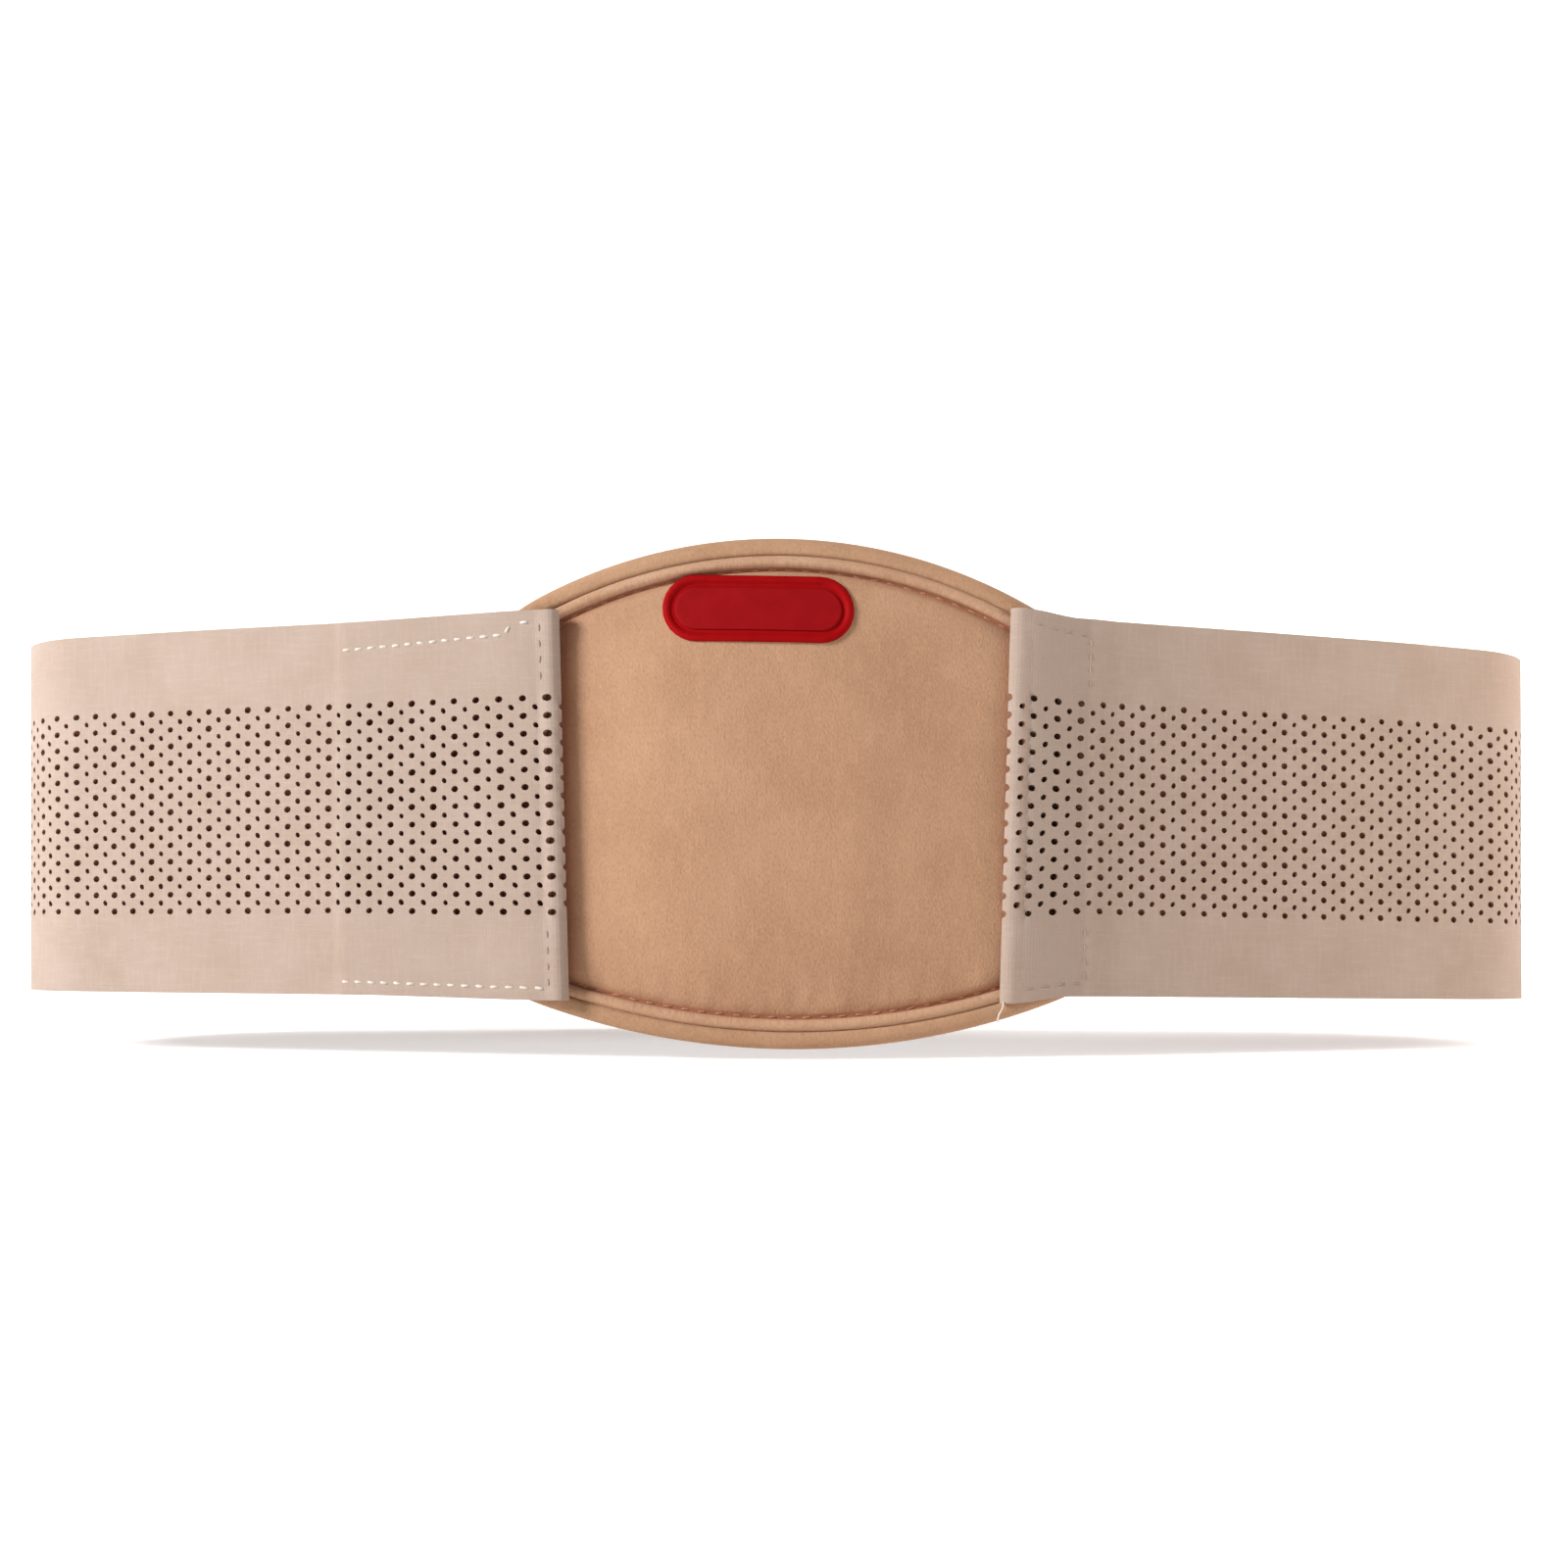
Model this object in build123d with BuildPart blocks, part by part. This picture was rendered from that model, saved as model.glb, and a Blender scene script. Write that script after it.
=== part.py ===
"""Lumbar support belt, closed as it is worn.

A loop of soft bands stands round the wearer's waist.  +Z is up, the front panel faces -Y and the
lumbar panel +Y, and the origin is the middle of the waist at mid height of the straps.  All sizes
are millimetres.

Two perforated elastic straps join the stiff lumbar panel at the back to the plush front panel.  The
right strap is sewn to the front panel.  The left strap ends in a hooked tab that grips the plush.

The loop is one line in plan, the wearing line, which is the face that touches the wearer.  It is a
chain of tangent arcs, symmetric about the YZ plane.  A place on it is a run, the distance along the
line from the front centre, positive towards +X.  A layer is given by how far its two faces stand
outside the wearing line.
"""

from build123d import *
from math import asin, cos, degrees, radians, sin, sqrt
import os

# ---------------------------------------------------------------- the wearing line, in plan
front_radius, front_turn = 500.0, 7.0  # the nearly flat belly, to one side of its centre
shoulder_radius, shoulder_turn = 120.0, 10.0  # where the front panel gives way to the straps
flank_radius, flank_turn = 1150.0, 6.0  # the long flank of the strap
hip_radius = 32.0  # the tight turn round the front of the hip
loin_radius, loin_turn = 75.0, 75.0  # the rounder turn into the back
side_heading, back_heading = 90.0, 180.0  # the line's direction at its widest and at its end

# ---------------------------------------------------------------- webbing, tapes and cloth
strap_width = 100.0
webbing = 1.6  # thickness of the elastic webbing
lining = 0.8
plush = 1.1
front_foam = 2.8
rim_stand = 0.9  # how far the front panel's rim stands over its plush
hook_tape = 1.1
closure_gap = 0.3  # free space between the hooks and the front panel's rim
body_gap = 0.3  # free space between pieces that move apart
lumbar_foam_thickness = 5.5
plate = 1.2
cover = 1.2
binding = 0.8  # thickness of the binding tape on each side of an edge
wing = 1.8  # the folded cloth that carries the strap at the lumbar panel

# ---------------------------------------------------------------- front panel
front_top, front_top_radius = 71.5, 140.0  # height of the crown, and its arc
front_bottom, front_bottom_radius = 62.8, 200.0
front_right = 80.0  # from the centre to the sewn end
front_shoulder = 72.0  # where the left crown runs out into the tongue
tongue_left, tongue_half_height = 104.0, 38.0  # the hidden landing for the hooked tab
tongue_slope = 12.0  # length of the slope between crown and tongue
front_corner = 8.0
rim_width = 4.5
piping_width = 2.6
piping_gap = 0.3
piping_stand = 0.7  # how far the piping stands over the plush

# ---------------------------------------------------------------- badge
badge_length, badge_height = 50.2, 17.8
badge_x = -7.0
badge_drop = 1.0  # between the badge's upper corners and the piping
badge_base, badge_rim_stand = 1.0, 0.7
badge_rim = 2.2
badge_field_gap, badge_field = 1.4, 0.4

# ---------------------------------------------------------------- straps and their ends
tab_hinge_run, tab_end_run = 120.0, 57.5  # left of the centre
hem_run = 58.0  # right of the centre
fold_length = 5.0  # the narrow fold at the hooked tab's free end
hook_margin = 2.5  # the hook tape stays this far inside the webbing's edges
wing_length = 32.0
wing_margin = 2.0  # the wing is this much lower than the strap at each edge
wing_bare = 8.0  # bare wing between the lumbar panel and the strap

# ---------------------------------------------------------------- lumbar panel
lumbar_half_width = 105.0
lumbar_half_height = 65.0
lumbar_corner = 9.0
binding_width = 5.0
plate_margin = 12.0  # the stiffening plate stays this far inside the outline
stay_runs = (28.0, 64.0)  # distance of the stays from the back centre, on each side
casing_side_wall, casing_inner_wall, casing_outer_wall = 2.3, 1.3, 0.8
casing_margin = 2.0  # between the casing and the binding
casing_floor = 3.0
stay_width, stay_thickness = 8.0, 1.0
stay_side_gap, stay_face_gap = 0.5, 0.2
tip_length, tip_wall = 6.0, 0.2
tip_proud = 4.0  # the upper tip stands this far out of its casing
label_width, label_height, label_thickness = 32.0, 22.0, 0.4
label_x, label_z = 62.0, -18.0

# ---------------------------------------------------------------- worked out from those
front_face = lining + front_foam + plush
front_rim = front_face + rim_stand
strap_inner = front_rim + closure_gap + hook_tape
strap_outer = strap_inner + webbing
lumbar_core = lining + lumbar_foam_thickness + plate
lumbar_face = lumbar_core + cover
channel_inner = lumbar_face + casing_inner_wall
tip_thickness = stay_thickness + 2 * tip_wall
channel_outer = channel_inner + tip_thickness + 2 * stay_face_gap
casing_outer = channel_outer + casing_outer_wall
half_strap = strap_width / 2
tall = 2 * max(front_top, front_bottom, lumbar_half_height) + strap_width  # past every piece
short = 1e-6  # a run this short is nothing


def wearing_line():
    """The loop's arcs from the back centre, down the left side and up the right, as
    (centre, radius, first heading, last heading, first run, last run)."""
    half = [
        (front_radius, front_turn),
        (shoulder_radius, shoulder_turn),
        (flank_radius, flank_turn),
        (hip_radius, side_heading - front_turn - shoulder_turn - flank_turn),
        (loin_radius, loin_turn),
    ]
    back_turn = back_heading - side_heading - loin_turn
    x, y, heading, run = 0.0, 0.0, 0.0, 0.0
    right = []
    for radius, turn in half + [(None, back_turn)]:
        if radius is None:  # the back arc closes the loop on the centre line
            radius = x / sin(radians(back_turn))
        centre = (x - radius * sin(radians(heading)), y + radius * cos(radians(heading)))
        length = radius * radians(turn)
        right.append((centre, radius, heading, heading + turn, run, run + length))
        heading, run = heading + turn, run + length
        x = centre[0] + radius * sin(radians(heading))
        y = centre[1] - radius * cos(radians(heading))
    middle = y / 2  # the waist's centre is half way between front and back
    right = [((c[0], c[1] - middle), *rest) for c, *rest in right]
    left = [((-c[0], c[1]), r, -h1, -h0, -s1, -s0) for c, r, h0, h1, s0, s1 in reversed(right)]
    return left + right


ARCS = wearing_line()
half_girth = ARCS[-1][5]


def heading_at(run):
    """The direction of travel at a run, in degrees from +X."""
    for _, radius, start, _, first, last in ARCS:
        if run <= last + short:
            return start + degrees((run - first) / radius)
    raise ValueError("the run is past the back centre")


def point_at(run, stand=0.0):
    """The plan point at a run, standing this far outside the wearing line."""
    for centre, radius, _, _, _, last in ARCS:
        if run <= last + short:
            heading = radians(heading_at(run))
            reach = radius + stand
            return (centre[0] + reach * sin(heading), centre[1] - reach * cos(heading))
    raise ValueError("the run is past the back centre")


def run_at_front(x):
    """The run of a point of the front half's wearing line, from its x."""
    low, high = 0.0, half_girth / 2
    while high - low > short:
        middle = (low + high) / 2
        if point_at(middle)[0] < abs(x):
            low = middle
        else:
            high = middle
    return low if x >= 0 else -low


def run_at_back(x):
    """The run of a point of the lumbar arc, from its x."""
    _, radius, _, _, _, last = ARCS[-1]
    run = last - radius * asin(abs(x) / radius)
    return run if x >= 0 else -run


def trace(first, last, stand):
    """Adds the arcs between two runs to the BuildLine in use."""
    for centre, radius, start, _, low, high in ARCS:
        begin, end = max(first, low), min(last, high)
        if end - begin > short:
            sweep_begin = start + degrees((begin - low) / radius)
            CenterArc(centre, radius + stand, sweep_begin - 90, degrees((end - begin) / radius))


def band(first, last, inner, outer):
    """Draws the plan of one layer between two runs in the BuildSketch in use."""
    with BuildLine() as edge:
        trace(first, last, inner)
        trace(first, last, outer)
        Line(point_at(first, inner), point_at(first, outer))
        Line(point_at(last, inner), point_at(last, outer))
    make_face(edge.edges())


def crown(x, height, radius):
    """The height at x of an arc that peaks at that height over the centre."""
    return height - radius + sqrt(radius**2 - x**2)


def front_outline(inset=0.0):
    """Draws the front panel's outline, seen from the front, in the BuildSketch in use."""
    with BuildLine() as edge:
        for height, radius, side in (
            (front_top, front_top_radius, 1),
            (front_bottom, front_bottom_radius, -1),
        ):
            left = (-front_shoulder, side * crown(front_shoulder, height, radius))
            right = (front_right, side * crown(front_right, height, radius))
            ThreePointArc(left, (0, side * height), right)
            Polyline(
                left,
                (-front_shoulder - tongue_slope, side * tongue_half_height),
                (-tongue_left, side * tongue_half_height),
                (-tongue_left, 0),
            )
            Line(right, (front_right, 0))
    make_face(edge.edges())
    fillet(vertices().filter_by(lambda v: abs(v.Y) > front_corner), front_corner)
    if inset:
        offset(amount=-inset)


def lumbar_outline(inset=0.0):
    """Draws the lumbar panel's outline, seen from behind, in the BuildSketch in use."""
    with BuildLine() as edge:
        for side in (1, -1):
            left = (-lumbar_half_width, side * half_strap)
            right = (lumbar_half_width, side * half_strap)
            ThreePointArc(left, (0, side * lumbar_half_height), right)
            Line(left, (-lumbar_half_width, 0))
            Line(right, (lumbar_half_width, 0))
    make_face(edge.edges())
    fillet(vertices().filter_by(lambda v: abs(v.Y) > lumbar_corner), lumbar_corner)
    if inset:
        offset(amount=-inset)


def badge_outline(inset=0.0):
    """Draws the badge's rounded bar, seen from the front, in the BuildSketch in use."""
    height = badge_height - 2 * inset
    with Locations((badge_x, badge_z)):
        SlotOverall(badge_length - 2 * inset, height)


def keep_inside(outline, inset=0.0):
    """Trims the part in use to an outline that is seen along Y."""
    with BuildSketch(Plane.XZ) as shape:
        outline(inset)
    extrude(shape.sketch, amount=tall, both=True, mode=Mode.INTERSECT)


def cut_window(outline, inset=0.0):
    """Cuts an outline that is seen along Y out of the part in use."""
    with BuildSketch(Plane.XZ) as shape:
        outline(inset)
    extrude(shape.sketch, amount=tall, both=True, mode=Mode.SUBTRACT)


def raise_band(first, last, inner, outer, bottom, top, mode=Mode.ADD):
    """Makes the layer between two runs, from one height to another."""
    with BuildSketch(Plane.XY.offset(bottom)) as plan:
        band(first, last, inner, outer)
    extrude(plan.sketch, amount=top - bottom, mode=mode)


def raise_front(inner, outer, mode=Mode.ADD):
    """Makes a layer across the whole front panel, for its outline to trim."""
    first, last = -run_at_front(tongue_left) - rim_width, run_at_front(front_right) + rim_width
    raise_band(first, last, inner, outer, -tall / 2, tall / 2, mode)


def raise_lumbar(inner, outer, mode=Mode.ADD):
    """Makes a layer across the whole lumbar panel, for its outline to trim."""
    first = panel_edge_run - binding_width
    raise_band(first, half_girth, inner, outer, -tall / 2, tall / 2, mode)
    raise_band(-half_girth, -first, inner, outer, -tall / 2, tall / 2, mode)


def finish(piece, name):
    """Names a piece and writes it."""
    piece.part.label = name
    export_step(piece.part, f"parts/{name}.step")


os.makedirs("parts", exist_ok=True)

panel_edge_run = run_at_back(lumbar_half_width)
wing_start_run = panel_edge_run - body_gap
strap_start_run = wing_start_run - wing_bare
side_names = {-1: "left", 1: "right"}


def runs_on(side, near, far):
    """The two runs of a piece on one side of the belt, in rising order."""
    return (near, far) if side > 0 else (-far, -near)


# ---------------------------------------------------------------- lumbar panel
with BuildPart() as lumbar_lining:
    raise_lumbar(0, lining)
    keep_inside(lumbar_outline, binding)
finish(lumbar_lining, "lumbar_lining")

plate_inner = lining + lumbar_foam_thickness
with BuildPart() as lumbar_plate:
    raise_lumbar(plate_inner, lumbar_core)
    keep_inside(lumbar_outline, plate_margin)
finish(lumbar_plate, "lumbar_plate")

with BuildPart() as lumbar_foam:
    raise_lumbar(lining, lumbar_core)
    keep_inside(lumbar_outline, binding)
    add(lumbar_plate.part, mode=Mode.SUBTRACT)
finish(lumbar_foam, "lumbar_foam")

with BuildPart() as lumbar_cover:
    raise_lumbar(lumbar_core, lumbar_face)
    keep_inside(lumbar_outline, binding)
finish(lumbar_cover, "lumbar_cover")

with BuildPart() as lumbar_body:  # what the binding is folded round
    raise_lumbar(0, lumbar_face)
    keep_inside(lumbar_outline, binding)

with BuildPart() as lumbar_binding:
    raise_lumbar(-binding, lumbar_face + binding)
    keep_inside(lumbar_outline)
    cut_window(lumbar_outline, binding_width)
    add(lumbar_body.part, mode=Mode.SUBTRACT)
finish(lumbar_binding, "lumbar_binding")

with BuildPart() as care_label:
    label_run = half_girth - label_x
    label_runs = (label_run - label_width / 2, label_run + label_width / 2)
    label_heights = (label_z - label_height / 2, label_z + label_height / 2)
    raise_band(*label_runs, -label_thickness, 0, *label_heights)
finish(care_label, "care_label")

# ---------------------------------------------------------------- stays in their casings
lumbar_arc_radius = (lumbar_half_width**2 + (lumbar_half_height - half_strap) ** 2) / (
    2 * (lumbar_half_height - half_strap)
)
channel_half_width = stay_width / 2 + tip_wall + stay_side_gap
casing_half_width = channel_half_width + casing_side_wall
casing_reach = max(stay_runs) + casing_half_width
casing_half_height = crown(casing_reach, lumbar_half_height, lumbar_arc_radius)
casing_half_height -= binding_width + casing_margin
stay_bottom = -casing_half_height + casing_floor
stay_top = casing_half_height + tip_proud
tip_inner = channel_inner + stay_face_gap
stay_inner = tip_inner + tip_wall
stay_outer = stay_inner + stay_thickness

stay_places = [(side, distance) for side in (-1, 1) for distance in stay_runs]
for number, (side, distance) in enumerate(stay_places, start=1):
    middle = half_girth - distance

    def across(half_width):
        """The two runs of something centred on this stay."""
        return runs_on(side, middle - half_width, middle + half_width)

    with BuildPart() as casing:
        raise_band(
            *across(casing_half_width), lumbar_face, casing_outer,
            -casing_half_height, casing_half_height,
        )
        raise_band(
            *across(channel_half_width), channel_inner, channel_outer,
            stay_bottom, casing_half_height, Mode.SUBTRACT,
        )
    finish(casing, f"stay_casing_{number}")

    with BuildPart() as stay:
        raise_band(
            *across(stay_width / 2), stay_inner, stay_outer,
            stay_bottom + tip_wall, stay_top - tip_wall,
        )
    finish(stay, f"stay_{number}")

    with BuildPart() as stay_tips:
        for low, high in (
            (stay_bottom, stay_bottom + tip_length),
            (stay_top - tip_length, stay_top),
        ):
            raise_band(
                *across(stay_width / 2 + tip_wall), tip_inner, tip_inner + tip_thickness, low, high
            )
        add(stay.part, mode=Mode.SUBTRACT)
    finish(stay_tips, f"stay_tips_{number}")

# ---------------------------------------------------------------- wings
for side, name in side_names.items():
    with BuildPart() as side_wing:
        raise_band(
            *runs_on(side, wing_start_run - wing_length, wing_start_run),
            strap_inner - wing, strap_inner,
            -half_strap + wing_margin, half_strap - wing_margin,
        )
    finish(side_wing, f"{name}_wing")

# ---------------------------------------------------------------- straps
strap_layer = (strap_inner, strap_outer, -half_strap, half_strap)

with BuildPart() as left_strap:
    raise_band(*runs_on(-1, tab_hinge_run + body_gap / 2, strap_start_run), *strap_layer)
finish(left_strap, "left_strap")

hook_inner = strap_inner - hook_tape
fold_run = tab_end_run + fold_length
tab_start_run = tab_hinge_run - body_gap / 2
with BuildPart() as left_tab:
    raise_band(*runs_on(-1, tab_end_run, tab_start_run), *strap_layer)
    raise_band(
        *runs_on(-1, tab_end_run, fold_run), hook_inner, strap_inner, -half_strap, half_strap
    )
finish(left_tab, "left_tab")

with BuildPart() as hook_patch:
    raise_band(
        *runs_on(-1, fold_run, tab_start_run - hook_margin), hook_inner, strap_inner,
        -half_strap + hook_margin, half_strap - hook_margin,
    )
finish(hook_patch, "hook_patch")

with BuildPart() as right_strap:
    raise_band(*runs_on(1, hem_run, strap_start_run), *strap_layer)
    raise_band(
        hem_run, run_at_front(front_right), front_rim, strap_inner, -half_strap, half_strap
    )
finish(right_strap, "right_strap")

# ---------------------------------------------------------------- front panel
with BuildPart() as front_lining:
    raise_front(0, lining)
    keep_inside(front_outline, binding)
finish(front_lining, "front_lining")

with BuildPart() as front_core:
    raise_front(lining, lining + front_foam)
    keep_inside(front_outline, binding)
finish(front_core, "front_foam")

with BuildPart() as front_cover:
    raise_front(lining + front_foam, front_face)
    keep_inside(front_outline, binding)
finish(front_cover, "front_plush")

with BuildPart() as front_body:  # what the binding is folded round
    raise_front(0, front_face)
    keep_inside(front_outline, binding)

with BuildPart() as front_binding:
    raise_front(-binding, front_rim)
    keep_inside(front_outline)
    cut_window(front_outline, rim_width)
    add(front_body.part, mode=Mode.SUBTRACT)
finish(front_binding, "front_binding")

with BuildPart() as front_piping:
    raise_front(front_face, front_face + piping_stand)
    keep_inside(front_outline, rim_width + piping_gap)
    cut_window(front_outline, rim_width + piping_gap + piping_width)
finish(front_piping, "front_piping")

# ---------------------------------------------------------------- badge
badge_face = front_face + badge_base
badge_corner = abs(badge_x) + (badge_length - badge_height) / 2
badge_z = crown(badge_corner, front_top, front_top_radius) - badge_height / 2
badge_z -= rim_width + piping_gap + piping_width + badge_drop
badge_runs = [run_at_front(badge_x + side * badge_length / 2) + side for side in (-1, 1)]
badge_heights = (badge_z - badge_height, badge_z + badge_height)
with BuildPart() as badge:
    raise_band(*badge_runs, front_face, badge_face, *badge_heights)
    keep_inside(badge_outline)
with BuildPart() as badge_edge:
    raise_band(*badge_runs, badge_face, badge_face + badge_rim_stand, *badge_heights)
    keep_inside(badge_outline)
    cut_window(badge_outline, badge_rim)
with BuildPart() as badge_frame:
    add(badge.part)
    add(badge_edge.part)
finish(badge_frame, "badge_frame")

with BuildPart() as badge_inlay:
    raise_band(*badge_runs, badge_face, badge_face + badge_field, *badge_heights)
    keep_inside(badge_outline, badge_rim + badge_field_gap)
finish(badge_inlay, "badge_inlay")
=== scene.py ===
# %% [markdown]
# # A lumbar support belt
# The belt stands closed, as it is worn.  Two perforated elastic straps join a stiff lumbar panel at
# the back to a plush front panel.  The right strap is sewn to the front panel, and the left strap
# ends in a hooked tab that grips the plush.  The design model gives every place and size, and this
# script makes what a hand and an eye would notice: cloth, seams, nap, rubber and thread.

import math
import random

import bmesh
import bpy
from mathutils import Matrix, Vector


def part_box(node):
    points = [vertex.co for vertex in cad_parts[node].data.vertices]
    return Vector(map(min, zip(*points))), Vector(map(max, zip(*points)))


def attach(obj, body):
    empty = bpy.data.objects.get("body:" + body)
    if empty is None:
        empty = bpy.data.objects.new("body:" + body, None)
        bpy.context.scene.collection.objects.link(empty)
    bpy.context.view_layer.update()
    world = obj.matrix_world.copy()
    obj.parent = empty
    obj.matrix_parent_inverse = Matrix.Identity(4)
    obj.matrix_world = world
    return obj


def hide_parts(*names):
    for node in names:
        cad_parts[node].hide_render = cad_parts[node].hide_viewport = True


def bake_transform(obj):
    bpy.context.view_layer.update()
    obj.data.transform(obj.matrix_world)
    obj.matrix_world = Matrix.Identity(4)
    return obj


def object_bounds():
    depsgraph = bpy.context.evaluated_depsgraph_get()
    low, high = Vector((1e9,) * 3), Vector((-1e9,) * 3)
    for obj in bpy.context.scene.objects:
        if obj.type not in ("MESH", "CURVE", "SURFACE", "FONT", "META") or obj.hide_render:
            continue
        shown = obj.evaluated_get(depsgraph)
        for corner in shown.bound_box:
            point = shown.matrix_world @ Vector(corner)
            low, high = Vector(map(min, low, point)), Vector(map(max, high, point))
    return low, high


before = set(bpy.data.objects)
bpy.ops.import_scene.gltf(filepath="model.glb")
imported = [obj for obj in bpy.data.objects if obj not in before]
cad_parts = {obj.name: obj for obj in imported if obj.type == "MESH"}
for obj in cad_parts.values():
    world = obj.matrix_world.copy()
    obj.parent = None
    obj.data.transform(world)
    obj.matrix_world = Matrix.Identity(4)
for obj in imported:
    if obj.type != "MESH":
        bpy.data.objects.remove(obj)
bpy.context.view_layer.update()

# %% [markdown]
# ## The wearing line
# Everything on the belt lies on one line in plan: the inner face of the loop.  It is a chain of
# tangent arcs, the same on both sides.  A place on the belt is then three numbers: a run along that
# line from the front centre, a stand outside it, and a height.  Cloth is easiest to draw flat and
# then lay on a form, so every soft piece below is drawn in those numbers and `place` bends it round.

# %% Lay out the line
MM = 0.001
FRONT, SHOULDER, FLANK = (500.0, 7.0), (120.0, 10.0), (1150.0, 6.0)  # radius in mm, turn in degrees
HIP_RADIUS = 32.0
LOIN = (75.0, 75.0)
HIP = (HIP_RADIUS, 90.0 - FRONT[1] - SHOULDER[1] - FLANK[1])


def lay_out_line():
    """The right half's arcs, each with its centre, radius, first heading, and first and last run."""
    arcs = []
    x = y = heading = run = 0.0
    last_turn = 90.0 - LOIN[1]
    for radius, turn in (FRONT, SHOULDER, FLANK, HIP, LOIN, (None, last_turn)):
        radius = radius or x / math.sin(math.radians(last_turn))
        a = math.radians(heading)
        centre = (x - radius * math.sin(a), y + radius * math.cos(a))
        length = radius * math.radians(turn)
        arcs.append((centre[0], centre[1], radius, a, run, run + length))
        heading, run = heading + turn, run + length
        a = math.radians(heading)
        x, y = centre[0] + radius * math.sin(a), centre[1] - radius * math.cos(a)
    return [(cx, cy - y / 2, r, a, s, e) for cx, cy, r, a, s, e in arcs], run


LINE, HALF_GIRTH = lay_out_line()
print("the belt fits a waist of", round(2 * HALF_GIRTH), "mm")


def place(run, stand, z):
    """The point at a run, a stand and a height, all in mm, as metres in the frame."""
    side, reach = (1, run) if run >= 0 else (-1, -run)
    if reach > HALF_GIRTH:
        side, reach = -side, 2 * HALF_GIRTH - reach
    for cx, cy, radius, a, start, end in LINE:
        if reach <= end:
            break
    a += (reach - start) / radius
    x, y = cx + (radius + stand) * math.sin(a), cy - (radius + stand) * math.cos(a)
    return Vector((side * x, y, z)) * MM


def run_for(x, stand, back=False):
    """The run where the layer at that stand has this x, on the front or on the back half."""
    low, high = 0.0, HALF_GIRTH / 2
    for _ in range(24):
        middle = (low + high) / 2
        run = HALF_GIRTH - middle if back else middle
        if place(run, stand, 0).x / MM < abs(x):
            low = middle
        else:
            high = middle
    run = HALF_GIRTH - low if back else low
    return run if x >= 0 else -run


FRONT_TILT = 0.014  # the front panel hangs this much lower on its right side


def front_lay(x, stand, z):
    """The point of a front layer that is seen at x and z from the front."""
    return place(run_for(x, stand), stand, z - FRONT_TILT * x)


def back_lay(x, stand, z):
    """The point of a lumbar layer that is seen at x and z from behind or through the loop."""
    return place(run_for(x, stand, back=True), stand, z)


# %% [markdown]
# ## Sizes read from the design model
# The boxes of the design model's nodes give the heights and widths.  The layers' stands repeat the
# cloth thicknesses of the design, because a box does not show them on a curved band.

# %% Read the sizes
def top_of(node):
    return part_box(node)[1][2] / MM


STRAP_HALF = top_of("left_strap")
FRONT_TOP, FRONT_BOTTOM = top_of("front_binding"), -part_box("front_binding")[0][2] / MM
FRONT_LEFT, FRONT_RIGHT = (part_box("front_binding")[end][0] / MM for end in (0, 1))
LUMBAR_TOP, LUMBAR_SIDE = top_of("lumbar_binding"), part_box("lumbar_binding")[1][0] / MM
FRONT_FACE, FRONT_RIM = 4.7, 5.6  # stands of the front plush and of its binding
WEB, WEB_MIDDLE = 1.3, 7.8  # the webbing's thickness and the stand of its middle
LUMBAR_FACE, LUMBAR_RIM = 8.7, 9.5
TAB_END, TAB_HINGE, HEM_END = 57.5, 120.0, 58.0  # runs of the tab's ends and of the right hem
print("strap", STRAP_HALF * 2, "front", FRONT_TOP, FRONT_BOTTOM, "lumbar", LUMBAR_TOP, LUMBAR_SIDE)

# %% [markdown]
# ## Mesh helpers
# A piece is a list of points and faces.  Each point also keeps its place on the flat cloth, in
# metres, as an attribute.  The weave and the nap are drawn in that flat place, so they follow the
# cloth round every bend and never stretch.

# %% Make a piece
random.seed(4)


def add_object(name, data):
    thing = bpy.data.objects.new(name, data)
    bpy.context.scene.collection.objects.link(thing)
    return thing


def make_piece(name, points, faces, material, flat=None, thickness=0.0, sharp=50):
    mesh = bpy.data.meshes.new(name)
    mesh.from_pydata(points, [], faces)
    layer = mesh.attributes.new("flat_place", "FLOAT_VECTOR", "POINT")
    for i, point in enumerate(points):
        layer.data[i].vector = Vector((flat[i][0] * MM, flat[i][1] * MM, 0)) if flat else point
    piece = add_object(name, mesh)
    mesh.materials.append(material)
    if thickness:
        solid = piece.modifiers.new("thickness", "SOLIDIFY")
        solid.thickness, solid.offset = thickness * MM, 0
        apply_modifiers(piece)
    for face in piece.data.polygons:
        face.use_smooth = True
    piece.data.set_sharp_from_angle(angle=math.radians(sharp))
    return piece


def apply_modifiers(piece):
    shape = piece.evaluated_get(bpy.context.evaluated_depsgraph_get())
    mesh = bpy.data.meshes.new_from_object(shape)
    old, name = piece.data, piece.data.name
    piece.modifiers.clear()
    piece.data = mesh
    bpy.data.meshes.remove(old)
    mesh.name = name


def paint(piece, name, values):
    """Gives each point of a piece a number that a finish can read."""
    piece.data.attributes.new(name, "FLOAT", "POINT").data.foreach_set("value", values)


def outward(piece, merge=0.0):
    """Turns every face of a closed piece to look outward, and first joins points within merge."""
    bm = bmesh.new()
    bm.from_mesh(piece.data)
    if merge:
        bmesh.ops.remove_doubles(bm, verts=bm.verts, dist=merge * MM)
    bmesh.ops.recalc_face_normals(bm, faces=bm.faces)
    bm.to_mesh(piece.data)
    bm.free()


def ramp(value, start, end):
    """0 before start, 1 after end, and a smooth rise between."""
    t = min(max((value - start) / (end - start), 0), 1)
    return t * t * (3 - 2 * t)


def grid_faces(columns, rows, first=0, flip=False):
    """The faces of a lattice whose points run up each of columns + 1 lines of rows + 1 points."""
    faces, n = [], rows + 1
    for i in range(columns):
        for j in range(rows):
            a = first + i * n + j
            faces.append([a, a + 1, a + n + 1, a + n] if flip else [a, a + n, a + n + 1, a + 1])
    return faces


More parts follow.
